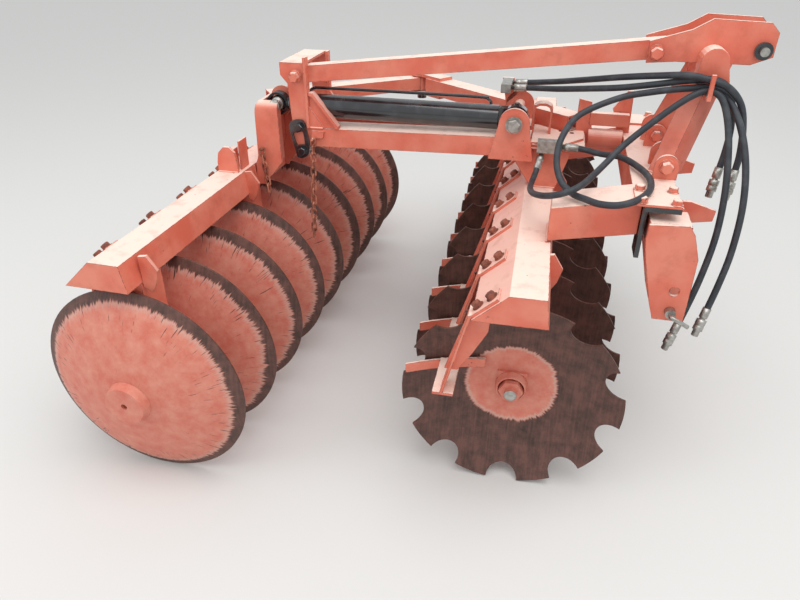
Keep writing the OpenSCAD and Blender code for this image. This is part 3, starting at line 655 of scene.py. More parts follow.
def repeated(name, body, finish, shape, places, sizes):
    """Copies of one small part by Geometry Nodes: the tree makes the part and stands one at every place,
    turned its own way; places are a point, a direction and a turn about it, in the row frame."""
    material, slot = finish
    mesh = bpy.data.meshes.new(name)
    mesh.from_pydata([tuple(point) for point, way, spin in places], [], [])
    mesh.attributes.new("way", "FLOAT_VECTOR", "POINT")
    mesh.attributes.new("spin", "FLOAT", "POINT")
    for i, (point, way, spin) in enumerate(places):
        mesh.attributes["way"].data[i].vector = Vector(way).normalized()
        mesh.attributes["spin"].data[i].value = spin
    made = bpy.data.objects.new(name, mesh)
    bpy.context.scene.collection.objects.link(made)
    tree = bpy.data.node_groups.new(name, "GeometryNodeTree")
    tree.interface.new_socket("Places", in_out="INPUT", socket_type="NodeSocketGeometry")
    tree.interface.new_socket("Parts", in_out="OUTPUT", socket_type="NodeSocketGeometry")
    keys = {}
    for key in sizes:
        keys[key] = tree.interface.new_socket(key, in_out="INPUT", socket_type="NodeSocketFloat").identifier
    entry = add(tree, "NodeGroupInput")
    way = add(tree, "GeometryNodeInputNamedAttribute", {"Name": "way"}, data_type="FLOAT_VECTOR").outputs[0]
    turn = add(tree, "FunctionNodeAlignRotationToVector", {"Vector": way}, axis="Z").outputs[0]
    spin = add(tree, "GeometryNodeInputNamedAttribute", {"Name": "spin"}, data_type="FLOAT").outputs[0]
    spin = add(tree, "ShaderNodeCombineXYZ", {"Z": spin}).outputs[0]
    spin = add(tree, "FunctionNodeEulerToRotation", {0: spin}).outputs[0]
    sockets = {"Rotation": turn, "Rotate By": spin}
    turn = add(tree, "FunctionNodeRotateRotation", sockets, rotation_space="LOCAL").outputs[0]
    sockets = {"Points": entry.outputs["Places"], "Instance": shape(tree, entry), "Rotation": turn}
    stood = add(tree, "GeometryNodeInstanceOnPoints", sockets).outputs[0]
    real = add(tree, "GeometryNodeRealizeInstances", {0: stood}).outputs[0]
    real = add(tree, "GeometryNodeSetMaterial", {"Geometry": real, "Material": material}).outputs[0]
    add(tree, "NodeGroupOutput", {"Parts": real})
    modifier = made.modifiers.new("parts", "NODES")
    modifier.node_group = tree
    for key, value in sizes.items():
        modifier[keys[key]] = value
    solid = bpy.data.meshes.new_from_object(made.evaluated_get(bpy.context.evaluated_depsgraph_get()))
    made.modifiers.remove(modifier)
    made.data = solid
    solid.name = name
    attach(made, body)
    return made


def hex_bolt(tree, entry):
    """A hexagon head with a chamfered top on a round washer, standing on z = 0."""
    width, height, washer = (entry.outputs[key] for key in ("Width", "Height", "Washer"))
    radius = add(tree, "ShaderNodeMath", {0: width, 1: FLATS_TO_CORNER}, operation="MULTIPLY").outputs[0]
    top = add(tree, "ShaderNodeMath", {0: radius, 1: 0.86}, operation="MULTIPLY").outputs[0]
    thin = add(tree, "ShaderNodeMath", {0: height, 1: 0.16}, operation="MULTIPLY").outputs[0]
    side = add(tree, "ShaderNodeMath", {0: height, 1: 0.84}, operation="MULTIPLY").outputs[0]
    under_cap = add(tree, "ShaderNodeMath", {0: thin, 1: side}).outputs[0]
    disc = add(tree, "ShaderNodeMath", {0: washer, 1: 0.5}, operation="MULTIPLY").outputs[0]
    stack = add(tree, "GeometryNodeJoinGeometry")
    # Corners, upper and lower radius, depth and foot of the washer, the head and its chamfered cap
    for corners, upper, lower, depth, foot in (
        (24, disc, disc, thin, 0.0),
        (6, radius, radius, side, thin),
        (6, top, radius, thin, under_cap),
    ):
        cone = {"Vertices": corners, "Radius Top": upper, "Radius Bottom": lower, "Depth": depth}
        cone = add(tree, "GeometryNodeMeshCone", cone).outputs[0]
        lift = add(tree, "ShaderNodeCombineXYZ", {"Z": foot}).outputs[0]
        cone = add(tree, "GeometryNodeTransform", {"Geometry": cone, "Translation": lift}).outputs[0]
        tree.links.new(cone, stack.inputs[0])
    return stack.outputs[0]


def chain_link(tree, entry):
    """A welded link of round bar: a long ring that stands along its direction, its middle at the place."""
    bar, inside, across = (entry.outputs[key] for key in ("Bar", "Inside", "Across"))
    long_way = add(tree, "ShaderNodeMath", {0: inside, 1: bar}).outputs[0]
    short_way = add(tree, "ShaderNodeMath", {0: across, 1: bar}).outputs[0]
    ring = {"Width": short_way, "Height": long_way}
    ring = add(tree, "GeometryNodeCurvePrimitiveQuadrilateral", ring).outputs[0]
    round_end = add(tree, "ShaderNodeMath", {0: short_way, 1: 0.499}, operation="MULTIPLY").outputs[0]
    ring = add(
        tree, "GeometryNodeFilletCurve", {"Curve": ring, "Count": 8, "Radius": round_end}, mode="POLY"
    ).outputs[0]
    half = add(tree, "ShaderNodeMath", {0: bar, 1: 0.5}, operation="MULTIPLY").outputs[0]
    section = add(tree, "GeometryNodeCurvePrimitiveCircle", {"Resolution": 8, "Radius": half}).outputs[0]
    solid = add(tree, "GeometryNodeCurveToMesh", {"Curve": ring, "Profile Curve": section}).outputs[0]
    solid = add(tree, "GeometryNodeSetShadeSmooth", {"Geometry": solid}).outputs[0]
    return add(tree, "GeometryNodeTransform", {"Geometry": solid, "Rotation": (math.pi / 2, 0, 0)}).outputs[0]


class HarrowColours(bpy.types.PropertyGroup):
    paint: StringProperty(name="Paint", description="sRGB hex of the sound paint", default="#d86a53")
    paint_faded: StringProperty(name="Faded paint", description="sRGB hex of faded paint", default="#e2866f")
    # Painted highlight: the pale colour that upward faces of the enamel are mixed towards
    paint_top_highlight: StringProperty(
        name="Painted top highlight", description="sRGB hex of sunlit tops", default="#fde6d7"
    )
    disc_paint: StringProperty(
        name="Disc paint", description="sRGB hex of paint on the discs", default="#cd6e5b"
    )
    disc_faded: StringProperty(
        name="Dusty disc paint", description="sRGB hex of dusty discs", default="#d9937e"
    )
    grime: StringProperty(name="Grime", description="sRGB hex of dirt on the paint", default="#a8543c")
    worn_dark: StringProperty(
        name="Worn steel", description="sRGB hex of scoured disc steel", default="#38251f"
    )
    worn_light: StringProperty(
        name="Dusty steel", description="sRGB hex of dusty disc steel", default="#6b473e"
    )
    lifted: StringProperty(
        name="Lifted paint", description="sRGB hex of the flaking paint's edge", default="#c9a79a"
    )
    rubber: StringProperty(name="Rubber", description="sRGB hex of the hoses", default="#2b3036")
    rust_dark: StringProperty(name="Dark rust", description="sRGB hex of old rust", default="#4a2c25")
    rust_light: StringProperty(name="Light rust", description="sRGB hex of fresh rust", default="#7a4c40")
    black: StringProperty(name="Black", description="sRGB hex of the cylinder's enamel", default="#14161c")
    dust: StringProperty(name="Dust", description="sRGB hex of dust on black paint", default="#5a5d60")
    steel: StringProperty(name="Pin steel", description="sRGB hex of plated pins", default="#b9b7b2")
    chrome: StringProperty(name="Chrome", description="sRGB hex of the piston rod", default="#d4d6d8")
    front_paint_r: FloatProperty(
        name="Front disc paint", description="Radius of its painted centre", default=0.142, unit="LENGTH"
    )
    rear_paint_r: FloatProperty(
        name="Rear disc paint", description="Radius to which its paint reaches", default=0.302, unit="LENGTH"
    )


class HarrowSizes(bpy.types.PropertyGroup):
    hose: FloatProperty(name="Hose", description="Outer diameter of a hose", default=0.019, unit="LENGTH")
    link_bar: FloatProperty(
        name="Chain bar", description="Diameter of a link's bar", default=0.007, unit="LENGTH"
    )
    bead: FloatProperty(name="Weld bead", description="Width of a weld bead", default=0.007, unit="LENGTH")
    bolt_width: FloatProperty(
        name="Bolt head", description="Width across flats", default=0.024, unit="LENGTH"
    )
    bolt_height: FloatProperty(
        name="Bolt height", description="Height of a head", default=0.013, unit="LENGTH"
    )
    washer: FloatProperty(name="Washer", description="Diameter of a washer", default=0.034, unit="LENGTH")
    floor: FloatProperty(name="Floor", description="Side of the floor", default=400.0, unit="LENGTH")


class HARROW_OT_camera(bpy.types.Operator):
    """Stands the camera where the picture was taken from"""

    bl_idname = "harrow.camera"
    bl_label = "Camera"

    def execute(self, context):
        data = bpy.data.cameras.new("camera")
        data.lens = CAMERA_LENS
        data.clip_end = CAMERA_DEPTH
        camera = bpy.data.objects.new("camera", data)
        context.scene.collection.objects.link(camera)
        place = Matrix.Translation(CAMERA_PLACE)
        for axis, degrees in CAMERA_TURNS:
            place = place @ Matrix.Rotation(math.radians(degrees), 4, axis)
        camera.matrix_world = place
        context.scene.camera = camera
        return {"FINISHED"}


class HARROW_OT_hoses(bpy.types.Operator):
    """Runs the four hydraulic hoses from their ports over the hook to the couplers"""

    bl_idname = "harrow.hoses"
    bl_label = "Hoses"

    def execute(self, context):
        zinc = finishes(context)["zinc_fitting"]
        rubber = shared(hose_rubber, "wrapped_hose_rubber", context.scene.harrow_colours)
        radius = context.scene.harrow_sizes.hose / 2
        for key, route in ROUTES.items():
            line = smoothed([spot(*point) for point in route])
            curve = bpy.data.curves.new(f"hose_{key}", "CURVE")
            curve.dimensions = "3D"
            spline = curve.splines.new("POLY")
            spline.points.add(len(line) - 1)
            for point, place in zip(spline.points, line):
                point.co = (*place, 1.0)
            curve.bevel_depth = radius
            curve.bevel_resolution = 5
            curve.use_fill_caps = True
            curve.materials.append(rubber)
            hose = bpy.data.objects.new(curve.name, curve)
            context.scene.collection.objects.link(hose)
            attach(hose, "frame")
            out = (line[1] - line[0]).normalized()
            back = (line[-1] - line[-2]).normalized()
            foot = line[0] - FERRULE_BACK * out
            piece(f"ferrule_{key}", "frame", zinc, lathe(foot, out, FERRULE), smooth=True)
            foot = line[-1] - COUPLER_BACK * back
            coupler = piece(f"coupler_{key}", "frame", zinc, lathe(foot, back, COUPLER), smooth=True)
        return {"FINISHED"}


class HARROW_OT_ports(bpy.types.Operator):
    """Adds the port blocks that the hoses leave, their tab and the hook that carries them"""

    bl_idname = "harrow.ports"
    bl_label = "Ports and hook"

    def execute(self, context):
        finish = finishes(context)
        tab = [(0.952, 0.985), (0.934, 1.076), (0.974, 1.076), (0.99, 1.02)]
        piece("port_tab", "frame", finish["enamel"], slab(tab, 1.045, PLATE), bevel=EDGE)
        near = block(1.085, 0.7868, 0.895, 0.08, 0.028, 0.043)
        far = block(0.938, 0.94, 1.046, 0.034, 0.105, 0.03)
        piece("port_blocks", "frame", finish["zinc_fitting"], joined(near, far), bevel=0.002)
        hook = [(0.609, 1.134), (0.712, 1.134), (0.712, 1.144), (0.619, 1.144), (0.619, 1.205)]
        hook += [(0.609, 1.205)]
        piece("hose_hook", "frame", finish["enamel"], slab(hook, 1.533, PLATE, "yz"), bevel=EDGE)
        return {"FINISHED"}


class HARROW_OT_finishes(bpy.types.Operator):
    """Gives every CAD node its paint, rust or metal"""

    bl_idname = "harrow.finishes"
    bl_label = "Paint and metal"

    def execute(self, context):
        look = context.scene.harrow_colours
        finish = finishes(context)
        give(finish["enamel"][0], *NODES)
        rust = shared(rusted_steel, "rusted_steel", look.rust_dark, look.rust_light)
        give(rust, "front_spools", "rear_spools", "limit_chain")
        give(finish["worn_disc"][0], "front_discs", "front_axle")
        give(shared(soil_worn_disc, "soil_worn_rear_disc", look, "rear"), "rear_discs", "rear_axle")
        give(finish["black"][0], "cylinder_barrel", "stop_link", "kingpin")
        give(finish["plated_pin"][0], "top_link_pin", "lower_link_pins", "rod_pin", "brace_pins")
        give(shared(chromed_rod, "hard_chrome_and_black_eye", look), "cylinder_rod")
        return {"FINISHED"}


class HARROW_OT_gang_bolts(bpy.types.Operator):
    """Sets two bolts up each scraper's sloping pad and four on the foot of each hanger"""

    bl_idname = "harrow.gang_bolts"
    bl_label = "Gang bolts"

    def execute(self, context):
        rust = finishes(context)["rusty_bolt"]
        sizes = context.scene.harrow_sizes
        head = {"Width": sizes.bolt_width, "Height": sizes.bolt_height, "Washer": sizes.washer}
        uphill = Vector((math.cos(SCRAPER_SLOPE), 0, math.sin(SCRAPER_SLOPE)))
        outward = Vector((-math.sin(SCRAPER_SLOPE), 0, math.cos(SCRAPER_SLOPE)))
        for gang, (body, pad_foot, pad_y, hanger_y) in GANGS.items():
            place = gang_matrix(gang)
            way = place.to_3x3() @ outward
            pads, feet = [], []
            for i in range(DISC_COUNT):
                pad = Vector((pad_foot, i * DISC_PITCH + pad_y, BEAM_FOOT)) + PAD * outward
                for along in (0.028, 0.074):
                    pads.append((place @ (pad + along * uphill), way, UNLIKE_TURN * i + along))
            for i in HANGER_DISCS:
                for dx in (-0.025, 0.022):
                    for dy in (-0.026, 0.026):
                        point = place @ Vector((dx, i * DISC_PITCH + hanger_y + dy, 0.425))
                        feet.append((point, (0, 0, 1), 1.7 * i + dx + dy))
            repeated(f"{gang}_scraper_bolts", body, rust, hex_bolt, pads, head)
            repeated(f"{gang}_bearing_bolts", body, rust, hex_bolt, feet, head)
        return {"FINISHED"}


class HARROW_OT_pin_bolts(bpy.types.Operator):
    """Sets the bolts on the pins, the stop link and the clamps"""

    bl_idname = "harrow.pin_bolts"
    bl_label = "Pin and clamp bolts"

    def execute(self, context):
        finish = finishes(context)
        near, up = (0, -1, 0), (0, 0, 1)
        bright = [(spot(1.003, 0.778, 0.985), near, 0.3)]
        repeated("bracket_pin_bolt", "frame", finish["zinc_bolt"], hex_bolt, bright, PIN_HEAD)
        pins = [spot(0.25, 0.786, 1.097), spot(1.392, 0.724, 1.237)]
        pins += [spot(1.462, y, 0.953) for y in (0.5725, 0.8855)]
        pins = [(place, near, 0.7 * i) for i, place in enumerate(pins)]
        repeated("painted_pin_bolts", "frame", finish["enamel"], hex_bolt, pins, PAINTED_PIN_HEAD)
        link = [(spot(0.252, 0.7875, 0.924), near, 0.2), (spot(0.258, 0.7875, 0.838), near, 0.6)]
        repeated("stop_link_bolts", "frame", finish["black"], hex_bolt, link, SMALL_HEAD)
        rows = (0.36, 0.452)
        tops = []
        for clamp_rows, turn in ((rows, 40), ([2 * HITCH_MIDDLE - y for y in rows], 50)):
            tops += [(spot(x, y, 0.9225), up, x * turn) for x in (1.384, 1.472) for y in clamp_rows]
        repeated("clamp_bolts", "frame", finish["enamel"], hex_bolt, tops, SMALL_HEAD)
        return {"FINISHED"}


class HARROW_OT_chains(bpy.types.Operator):
    """Hangs the two chains beside the mast, with the hook and the peg that hold them"""

    bl_idname = "harrow.chains"
    bl_label = "Chains"

    def execute(self, context):
        finish = finishes(context)
        rust = finish["rusty_chain"]
        bar = context.scene.harrow_sizes.link_bar
        link = {"Bar": bar, "Inside": 4 * bar, "Across": 1.4 * bar}
        step = 4 * bar - 0.0004
        for name, body, top, lean, count in (
            ("limit_chain_links", "frame", spot(0.3, 0.7855, 0.872), 0.055, 14),
            ("carrier_chain_links", "rear_carrier", spot(0.1, 0.7845, 0.82), -0.08, 6),
        ):
            way = Vector((lean, 0.0, 1.0)).normalized()
            links = [(top - way * i * step, way, (i % 2) * math.pi / 2) for i in range(count)]
            repeated(name, body, rust, chain_link, links, link)
        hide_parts("limit_chain")
        hook = [(0.289, 0.865), (0.303, 0.881), (0.335, 0.887), (0.34, 0.91), (0.293, 0.911)]
        bolt = [(0, 0), (0.0045, 0), (0.0045, 0.026), (0, 0.026)]
        bolt = lathe(spot(0.3, 0.8, 0.884), (0, -1, 0), bolt, 12)
        piece("chain_hook", "frame", finish["enamel"], joined(slab(hook, 0.7945, 0.005), bolt))
        peg = lathe(spot(0.101, 0.8, 0.832), (0, -1, 0), [(0, 0), (0.005, 0), (0.005, 0.026), (0, 0.026)], 12)
        piece("chain_peg", "rear_carrier", rust, peg)
        return {"FINISHED"}


class HARROW_OT_stop_link(bpy.types.Operator):
    """Cuts the black stop link, a slotted plate"""

    bl_idname = "harrow.stop_link"
    bl_label = "Stop link"

    def execute(self, context):
        outer = [(0.215, 0.936), (0.244, 0.949), (0.271, 0.936), (0.284, 0.849), (0.27, 0.816), (0.237, 0.81)]
        outer += [(0.227, 0.844), (0.213, 0.905)]
        inner = [(0.224, 0.898), (0.243, 0.902), (0.261, 0.905), (0.266, 0.863), (0.26, 0.86), (0.244, 0.858)]
        inner += [(0.235, 0.857), (0.228, 0.88)]
        outer, inner = rounded(outer), rounded(inner)
        points = [spot(x, y, z) for y in (0.7885, 0.7985) for x, z in outer + inner]
        plate = (points, walled(len(outer), True))
        stop = piece("stop_link_plate", "frame", finishes(context)["black"], plate, bevel=0.0015)
        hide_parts("stop_link")
        return {"FINISHED"}


class HARROW_OT_hitch_plates(bpy.types.Operator):
    """Adds the hitch horns and the lugs round the struts' feet"""

    bl_idname = "harrow.hitch_plates"
    bl_label = "Horns and strut lugs"

    def execute(self, context):
        enamel = finishes(context)["enamel"]
        horn = [(1.489, 0.883), (1.535, 0.883), (1.605, 0.862), (1.602, 0.83), (1.55, 0.821), (1.489, 0.817)]
        for n, y in enumerate((0.494, 0.9)):
            piece(f"hitch_horn_{n}", "frame", enamel, slab(horn, y, PLATE), bevel=EDGE)
        lug = [(1.428, 0.9145), (1.496, 0.9145), *arc(1.462, 0.953, 0.034, 0, 180, 12)]
        for n, y in enumerate((0.572, 0.703, 0.885, 1.016)):
            piece(f"strut_lug_{n}", "frame", enamel, slab(lug, y, PLATE), bevel=EDGE)
        return {"FINISHED"}


class HARROW_OT_clamps(bpy.types.Operator):
    """Lays a clamp plate with its black strap over each drop box"""
    # Lays a clamp plate over each drop box, with a black strap and pad below it that are painted shade for
    # the box's shadowed rear face and the gap under the plate

    bl_idname = "harrow.clamps"
    bl_label = "Drop box clamps"

    def execute(self, context):
        finish = finishes(context)
        # Boxes of the near clamp: X, Y, Z, length, width and height
        plate = (1.368, 0.345, 0.9155, 0.118, 0.125, 0.007)
        # Painted shade: the black leg stands for the shadowed rear face of the drop box, and the black pad
        # for a rubber layer together with the shadow under the clamp plate
        shade_leg = (1.3905, 0.36, 0.757, 0.013, 0.068, 0.158)
        pad = (1.392, 0.345, 0.901, 0.094, 0.04, 0.0145)
        for name in ("near", "far"):
            boxes = []
            for x, y, z, length, width, height in (plate, shade_leg, pad):
                if name == "far":
                    y = 2 * HITCH_MIDDLE - y - width
                boxes.append(block(x, y, z, length, width, height))
            piece(f"clamp_plate_{name}", "frame", finish["enamel"], boxes[0], bevel=EDGE)
            # The black strap is painted shade, with its pad partly a real rubber layer
            piece(f"clamp_shade_strap_{name}", "frame", finish["black"], joined(*boxes[1:]), bevel=EDGE)
        return {"FINISHED"}


class HARROW_OT_pedestal_fittings(bpy.types.Operator):
    """Adds the valve plate, hose arch and stay on the pedestal"""

    bl_idname = "harrow.pedestal_fittings"
    bl_label = "Valve plate and stay"

    def execute(self, context):
        finish = finishes(context)
        enamel = finish["enamel"]
        valve = [(1.062, 0.822), (1.172, 0.822), (1.236, 0.905), (1.236, 1.01), (1.214, 1.01), (1.178, 0.962)]
        valve += [(1.152, 0.98), (1.08, 1.034), (1.062, 1.04)]
        piece("valve_plate", "frame", enamel, slab(valve, 0.9122, 0.008, "xy"), bevel=EDGE)
        # Painted shade: each hole is a thin black disc laid on the plate, standing for the dark inside of a
        # hole
        hole = [(0, 0), (0.008, 0), (0.008, 0.0006), (0, 0.0006)]
        holes = [lathe(spot(x, y, 0.9199), (0, 0, 1), hole) for x, y in ((1.157, 0.972), (1.195, 0.957))]
        piece("valve_plate_hole_shade", "frame", finish["black"], joined(*holes))
        bend = [(1.054, 0.92), (1.054, 1.0), (1.06, 1.015), (1.075, 1.023), (1.1, 1.023), (1.116, 1.015)]
        bend += [(1.122, 1.0), (1.122, 0.92)]
        core = [(1.114, 0.92), (1.114, 0.999), (1.11, 1.009), (1.099, 1.015), (1.077, 1.015), (1.066, 1.009)]
        core += [(1.062, 0.999), (1.062, 0.92)]
        piece("hose_arch", "frame", enamel, slab(bend + core, 0.925, 0.045))
        end = [(1.206, 0.868), (1.252, 0.868), (1.276, 0.892), (1.262, 0.922), (1.25, 1.022), (1.206, 1.03)]
        gusset = [(1.345, 0.914), (1.345, 0.95), (1.323, 0.995), (1.365, 1.058), (1.384, 1.059)]
        gusset += [(1.39, 0.914)]
        tie = block(1.25, 0.985, 0.944, 0.13, 0.03, 0.042)
        plates = joined(slab(end, 0.994, PLATE), slab(gusset, 1.022, PLATE), tie)
        piece("stay_plates", "frame", enamel, plates, bevel=EDGE)
        spacer = [(0, 0), (0.03, 0), (0.032, 0.002), (0.032, 0.116), (0.03, 0.118), (0, 0.118)]
        piece("stay_spacer", "frame", enamel, lathe(spot(1.25, 1.0, 0.898), (1, 0, 0), spacer, 32))
        return {"FINISHED"}


class HARROW_OT_pin_handles(bpy.types.Operator):
    """Bends the handles on the outer ends of the lower link pins"""

    bl_idname = "harrow.pin_handles"
    bl_label = "Link pin handles"

    def execute(self, context):
        steel = finishes(context)["bright_bar"]
        # X, how far beyond the pin's end, and Z
        bends = ((1.508, 0, 0.628), (1.508, 0.012, 0.628), (1.513, 0.018, 0.627), (1.53, 0.02, 0.62))
        bends += ((1.556, 0.02, 0.606),)
        for n, (y, way) in enumerate(((0.29, -1), (1.31, 1))):
            path = smoothed([spot(x, y + way * out, z) for x, out, z in bends], 5)
            piece(f"pin_handle_{n}", "frame", steel, swept(path, 0.006), smooth=True)
        return {"FINISHED"}


class HARROW_OT_beam_lugs(bpy.types.Operator):
    """Stands the lugs beside the gooseneck on the rear beam"""

    bl_idname = "harrow.beam_lugs"
    bl_label = "Rear beam lugs"

    def execute(self, context):
        arch = [(-0.041, BEAM_TOP), (-0.041, 0.80), (-0.034, 0.835), (-0.012, 0.857), (0.01, 0.857)]
        arch += [(0.03, 0.838)]
        arch += [(0.037, 0.8), (0.037, BEAM_TOP)]
        tongue = block(-0.01, 0.716, BEAM_TOP, 0.022, 0.05, 0.075)
        post = block(0.029, 0.735, BEAM_TOP, 0.007, 0.06, 0.105)
        lugs = joined(slab(arch, 0.7, PLATE), tongue, post)
        piece("beam_lugs", "rear_carrier", finishes(context)["enamel"], lugs, bevel=EDGE)
        return {"FINISHED"}


class HARROW_OT_front_collar(bpy.types.Operator):
    """Turns the collar and the axle's end at the near end of the front gang"""

    bl_idname = "harrow.front_collar"
    bl_label = "Front collar"

    def execute(self, context):
        finish = finishes(context)
        gang = gang_matrix("front")
        foot = gang @ Vector((0, 0.0807, AXLE_HEIGHT))
        way = gang.to_3x3() @ Vector((0, -1, 0))
        collar = [(0.0395, 0.01), (0.0395, 0.036), (0.042, 0.039), (0.0455, 0.037), (0.047, 0.012)]
        collar += [(0.049, 0.01)]
        collar = lathe(foot, way, collar, 40, bored=True)
        piece("front_collar", "front_gang", finish["worn_disc"], collar, smooth=True)
        stub = [(0, 0.066), (0.0194, 0.066), (0.0194, 0.0675), (0.017, 0.0695), (0, 0.0695)]
        piece("axle_end", "front_gang", finish["bright_bar"], lathe(foot, way, stub))
        return {"FINISHED"}


class HARROW_OT_gooseneck(bpy.types.Operator):
    """Folds the gooseneck from one plate, with its foot, web, flanges and pin lug"""

    bl_idname = "harrow.gooseneck"
    bl_label = "Gooseneck"

    def execute(self, context):
        enamel = finishes(context)["enamel"]
        points = []
        for line in (neck_section(0.0), neck_section(PLATE)):
            points += [spot(at_height(NECK_REAR_EDGE, z), y, z) for y, z in line]
            for y, z in line:
                slotted = y in NECK_SLOT[1:3]
                points.append(spot(NECK_SLOT_REAR if slotted else at_height(NECK_FRONT_EDGE, z), y, z))
        channel = (points, walled(len(points) // 4, False))
        foot = slab([(0.0665, 0.692), (0.0805, 0.692), (0.0685, 0.765), (0.0545, 0.765)], 0.812, 0.221)
        web = [(0.064, 0.766), (0.078, 0.766), (0.09, 0.81), (0.092, 0.98), (0.083, 0.98), (0.078, 0.81)]
        flanges = [block(0.156, y, 0.79, 0.01, 0.02, 0.186) for y in (0.811, 1.014)]
        neck = joined(channel, foot, slab(web, 0.812, 0.221), *flanges)
        neck = piece("folded_gooseneck", "rear_carrier", enamel, neck)
        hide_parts("gooseneck")
        lug = [*arc(0.15, 0.993, 0.045, -30, 210, 20), (0.105, 0.93), (0.16, 0.93)]
        piece("rod_pin_lug", "rear_carrier", enamel, slab(lug, 0.8965, 0.0105), bevel=EDGE)
        return {"FINISHED"}


class HARROW_OT_rod_pin(bpy.types.Operator):
    """Turns the rod's pin with the ball that the rod's eye rides on"""

    bl_idname = "harrow.rod_pin"
    bl_label = "Rod pin"

    def execute(self, context):
        ball = [(math.sqrt(0.028**2 - h**2), 0.047 + h) for h in [0.0195 * k / 6 for k in range(-6, 7)]]
        shaft = [(0, 0), (0.018, 0), (0.02, 0.002), (0.02, 0.0275), *ball]
        shaft += [(0.02, 0.0665), (0.02, 0.092), (0.018, 0.094), (0, 0.094)]
        shape = lathe(spot(0.15, 0.813, 0.985), (0, 1, 0), shaft, 32)
        pin = piece("turned_rod_pin", "rear_carrier", finishes(context)["plated_pin"], shape, smooth=True)
        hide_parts("rod_pin")
        return {"FINISHED"}


class HARROW_OT_hitch_arms(bpy.types.Operator):
    """Runs the two arms from the front beam up to the cross-beam"""

    bl_idname = "harrow.hitch_arms"
    bl_label = "Hitch arms"

    def execute(self, context):
        side = [(1.15, 0.771), (1.15, 0.8725), (1.3895, 0.9205), (1.3895, 0.8185)]
        arms = joined(*[slab(side, y, 0.13) for y in (0.38, 1.09)])
        arms = piece("hitch_channel_arms", "frame", finishes(context)["enamel"], arms, bevel=0.003)
        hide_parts("hitch_arms")
        return {"FINISHED"}


class HARROW_OT_strut_heads(bpy.types.Operator):
    """Rounds the struts' heads beside the head plates"""

    bl_idname = "harrow.strut_heads"
    bl_label = "Strut heads"

    def execute(self, context):
        head = [(1.508, 1.165), (1.598, 1.165), *arc(1.545, 1.226, 0.038, 0, 180, 12)]
        heads = joined(*[slab(head, y, 0.0635) for y in (0.674, 0.8625)])
        piece("strut_heads", "frame", finishes(context)["enamel"], heads, bevel=0.003)
        return {"FINISHED"}


class HARROW_OT_mast_edges(bpy.types.Operator):
    """Adds the mast's edge flanges and the gusset in front of it"""

    bl_idname = "harrow.mast_edges"
    bl_label = "Mast flanges and gusset"

    def execute(self, context):
        enamel = finishes(context)["enamel"]
        near = block(0.2765, 0.792, 0.9185, 0.011, 0.028, 0.24)
        far = block(0.2765, 1.025, 0.9185, 0.011, 0.028, 0.22)
        piece("mast_flanges", "frame", enamel, joined(near, far), bevel=EDGE)
        web = [(0.2885, 0.9205), (0.2885, 1.03), (0.3, 1.03), (0.378, 0.93), (0.378, 0.9205)]
        lip = [(0.2885, 1.03), (0.2885, 1.042), (0.304, 1.042), (0.392, 0.93), (0.392, 0.9205)]
        lip += [(0.378, 0.9205)]
        lip += [(0.378, 0.93), (0.3, 1.03)]
        gusset = joined(slab(web, 0.806, 0.01), slab(lip, 0.796, 0.03))
        piece("mast_gusset", "frame", enamel, gusset, bevel=EDGE)
        return {"FINISHED"}


class HARROW_OT_scraper_arms(bpy.types.Operator):
    """Cuts the side plate of each front scraper"""

    bl_idname = "harrow.scraper_arms"
    bl_label = "Front scraper arms"

    def execute(self, context):
        outline = [(-0.133, 0.677), (-0.073, 0.679), (-0.076, 0.63), (-0.114, 0.555), (-0.152, 0.493)]
        outline += [(-0.189, 0.494)]
        gang = gang_matrix("front")
        faces = slab(outline, 0, 0)[1]
        arms = []
        for i in range(DISC_COUNT):
            sides = [i * DISC_PITCH + y for y in (-0.107, -0.097)]
            arms.append(([gang @ Vector((x, y, z)) for y in sides for x, z in outline], faces))
        piece("front_scraper_arms", "frame", finishes(context)["enamel"], joined(*arms), bevel=EDGE)
        return {"FINISHED"}


class HARROW_OT_hanger_wedges(bpy.types.Operator):
    """Stands a wedge against the front face of each beam beside every hanger"""

    bl_idname = "harrow.hanger_wedges"
    bl_label = "Hanger wedges"

    def execute(self, context):
        enamel = finishes(context)["enamel"]
        wedge = [(1.15, 0.762), (1.176, 0.766), (1.204, 0.722), (1.193, 0.68), (1.176, 0.65), (1.15, 0.665)]
        # The rear beam's wedges stand as the front beam's do, so far behind them and nearer
        for gang, behind, nearer in (("front", 0.0, 0.0), ("rear", 1.101, 0.276)):
            outline = [(x - behind, z) for x, z in wedge]
            wedges = joined(*[slab(outline, y - nearer, PLATE) for y in (0.305, 0.995, 1.915)])
            piece(f"{gang}_hanger_wedges", GANGS[gang][0], enamel, wedges, bevel=EDGE)
        return {"FINISHED"}


class HARROW_OT_top_link_washer(bpy.types.Operator):
    """Puts the black washer under the head of the top link's pin"""

    bl_idname = "harrow.top_link_washer"
    bl_label = "Top link washer"

    def execute(self, context):
        ring = [(0.0128, 0), (0.024, 0), (0.024, 0.01), (0.0128, 0.01)]
        ring = lathe(spot(1.675, 0.7375, 1.252), (0, -1, 0), ring, 32, bored=True)
        piece("top_link_washer", "frame", finishes(context)["black"], ring)
        return {"FINISHED"}


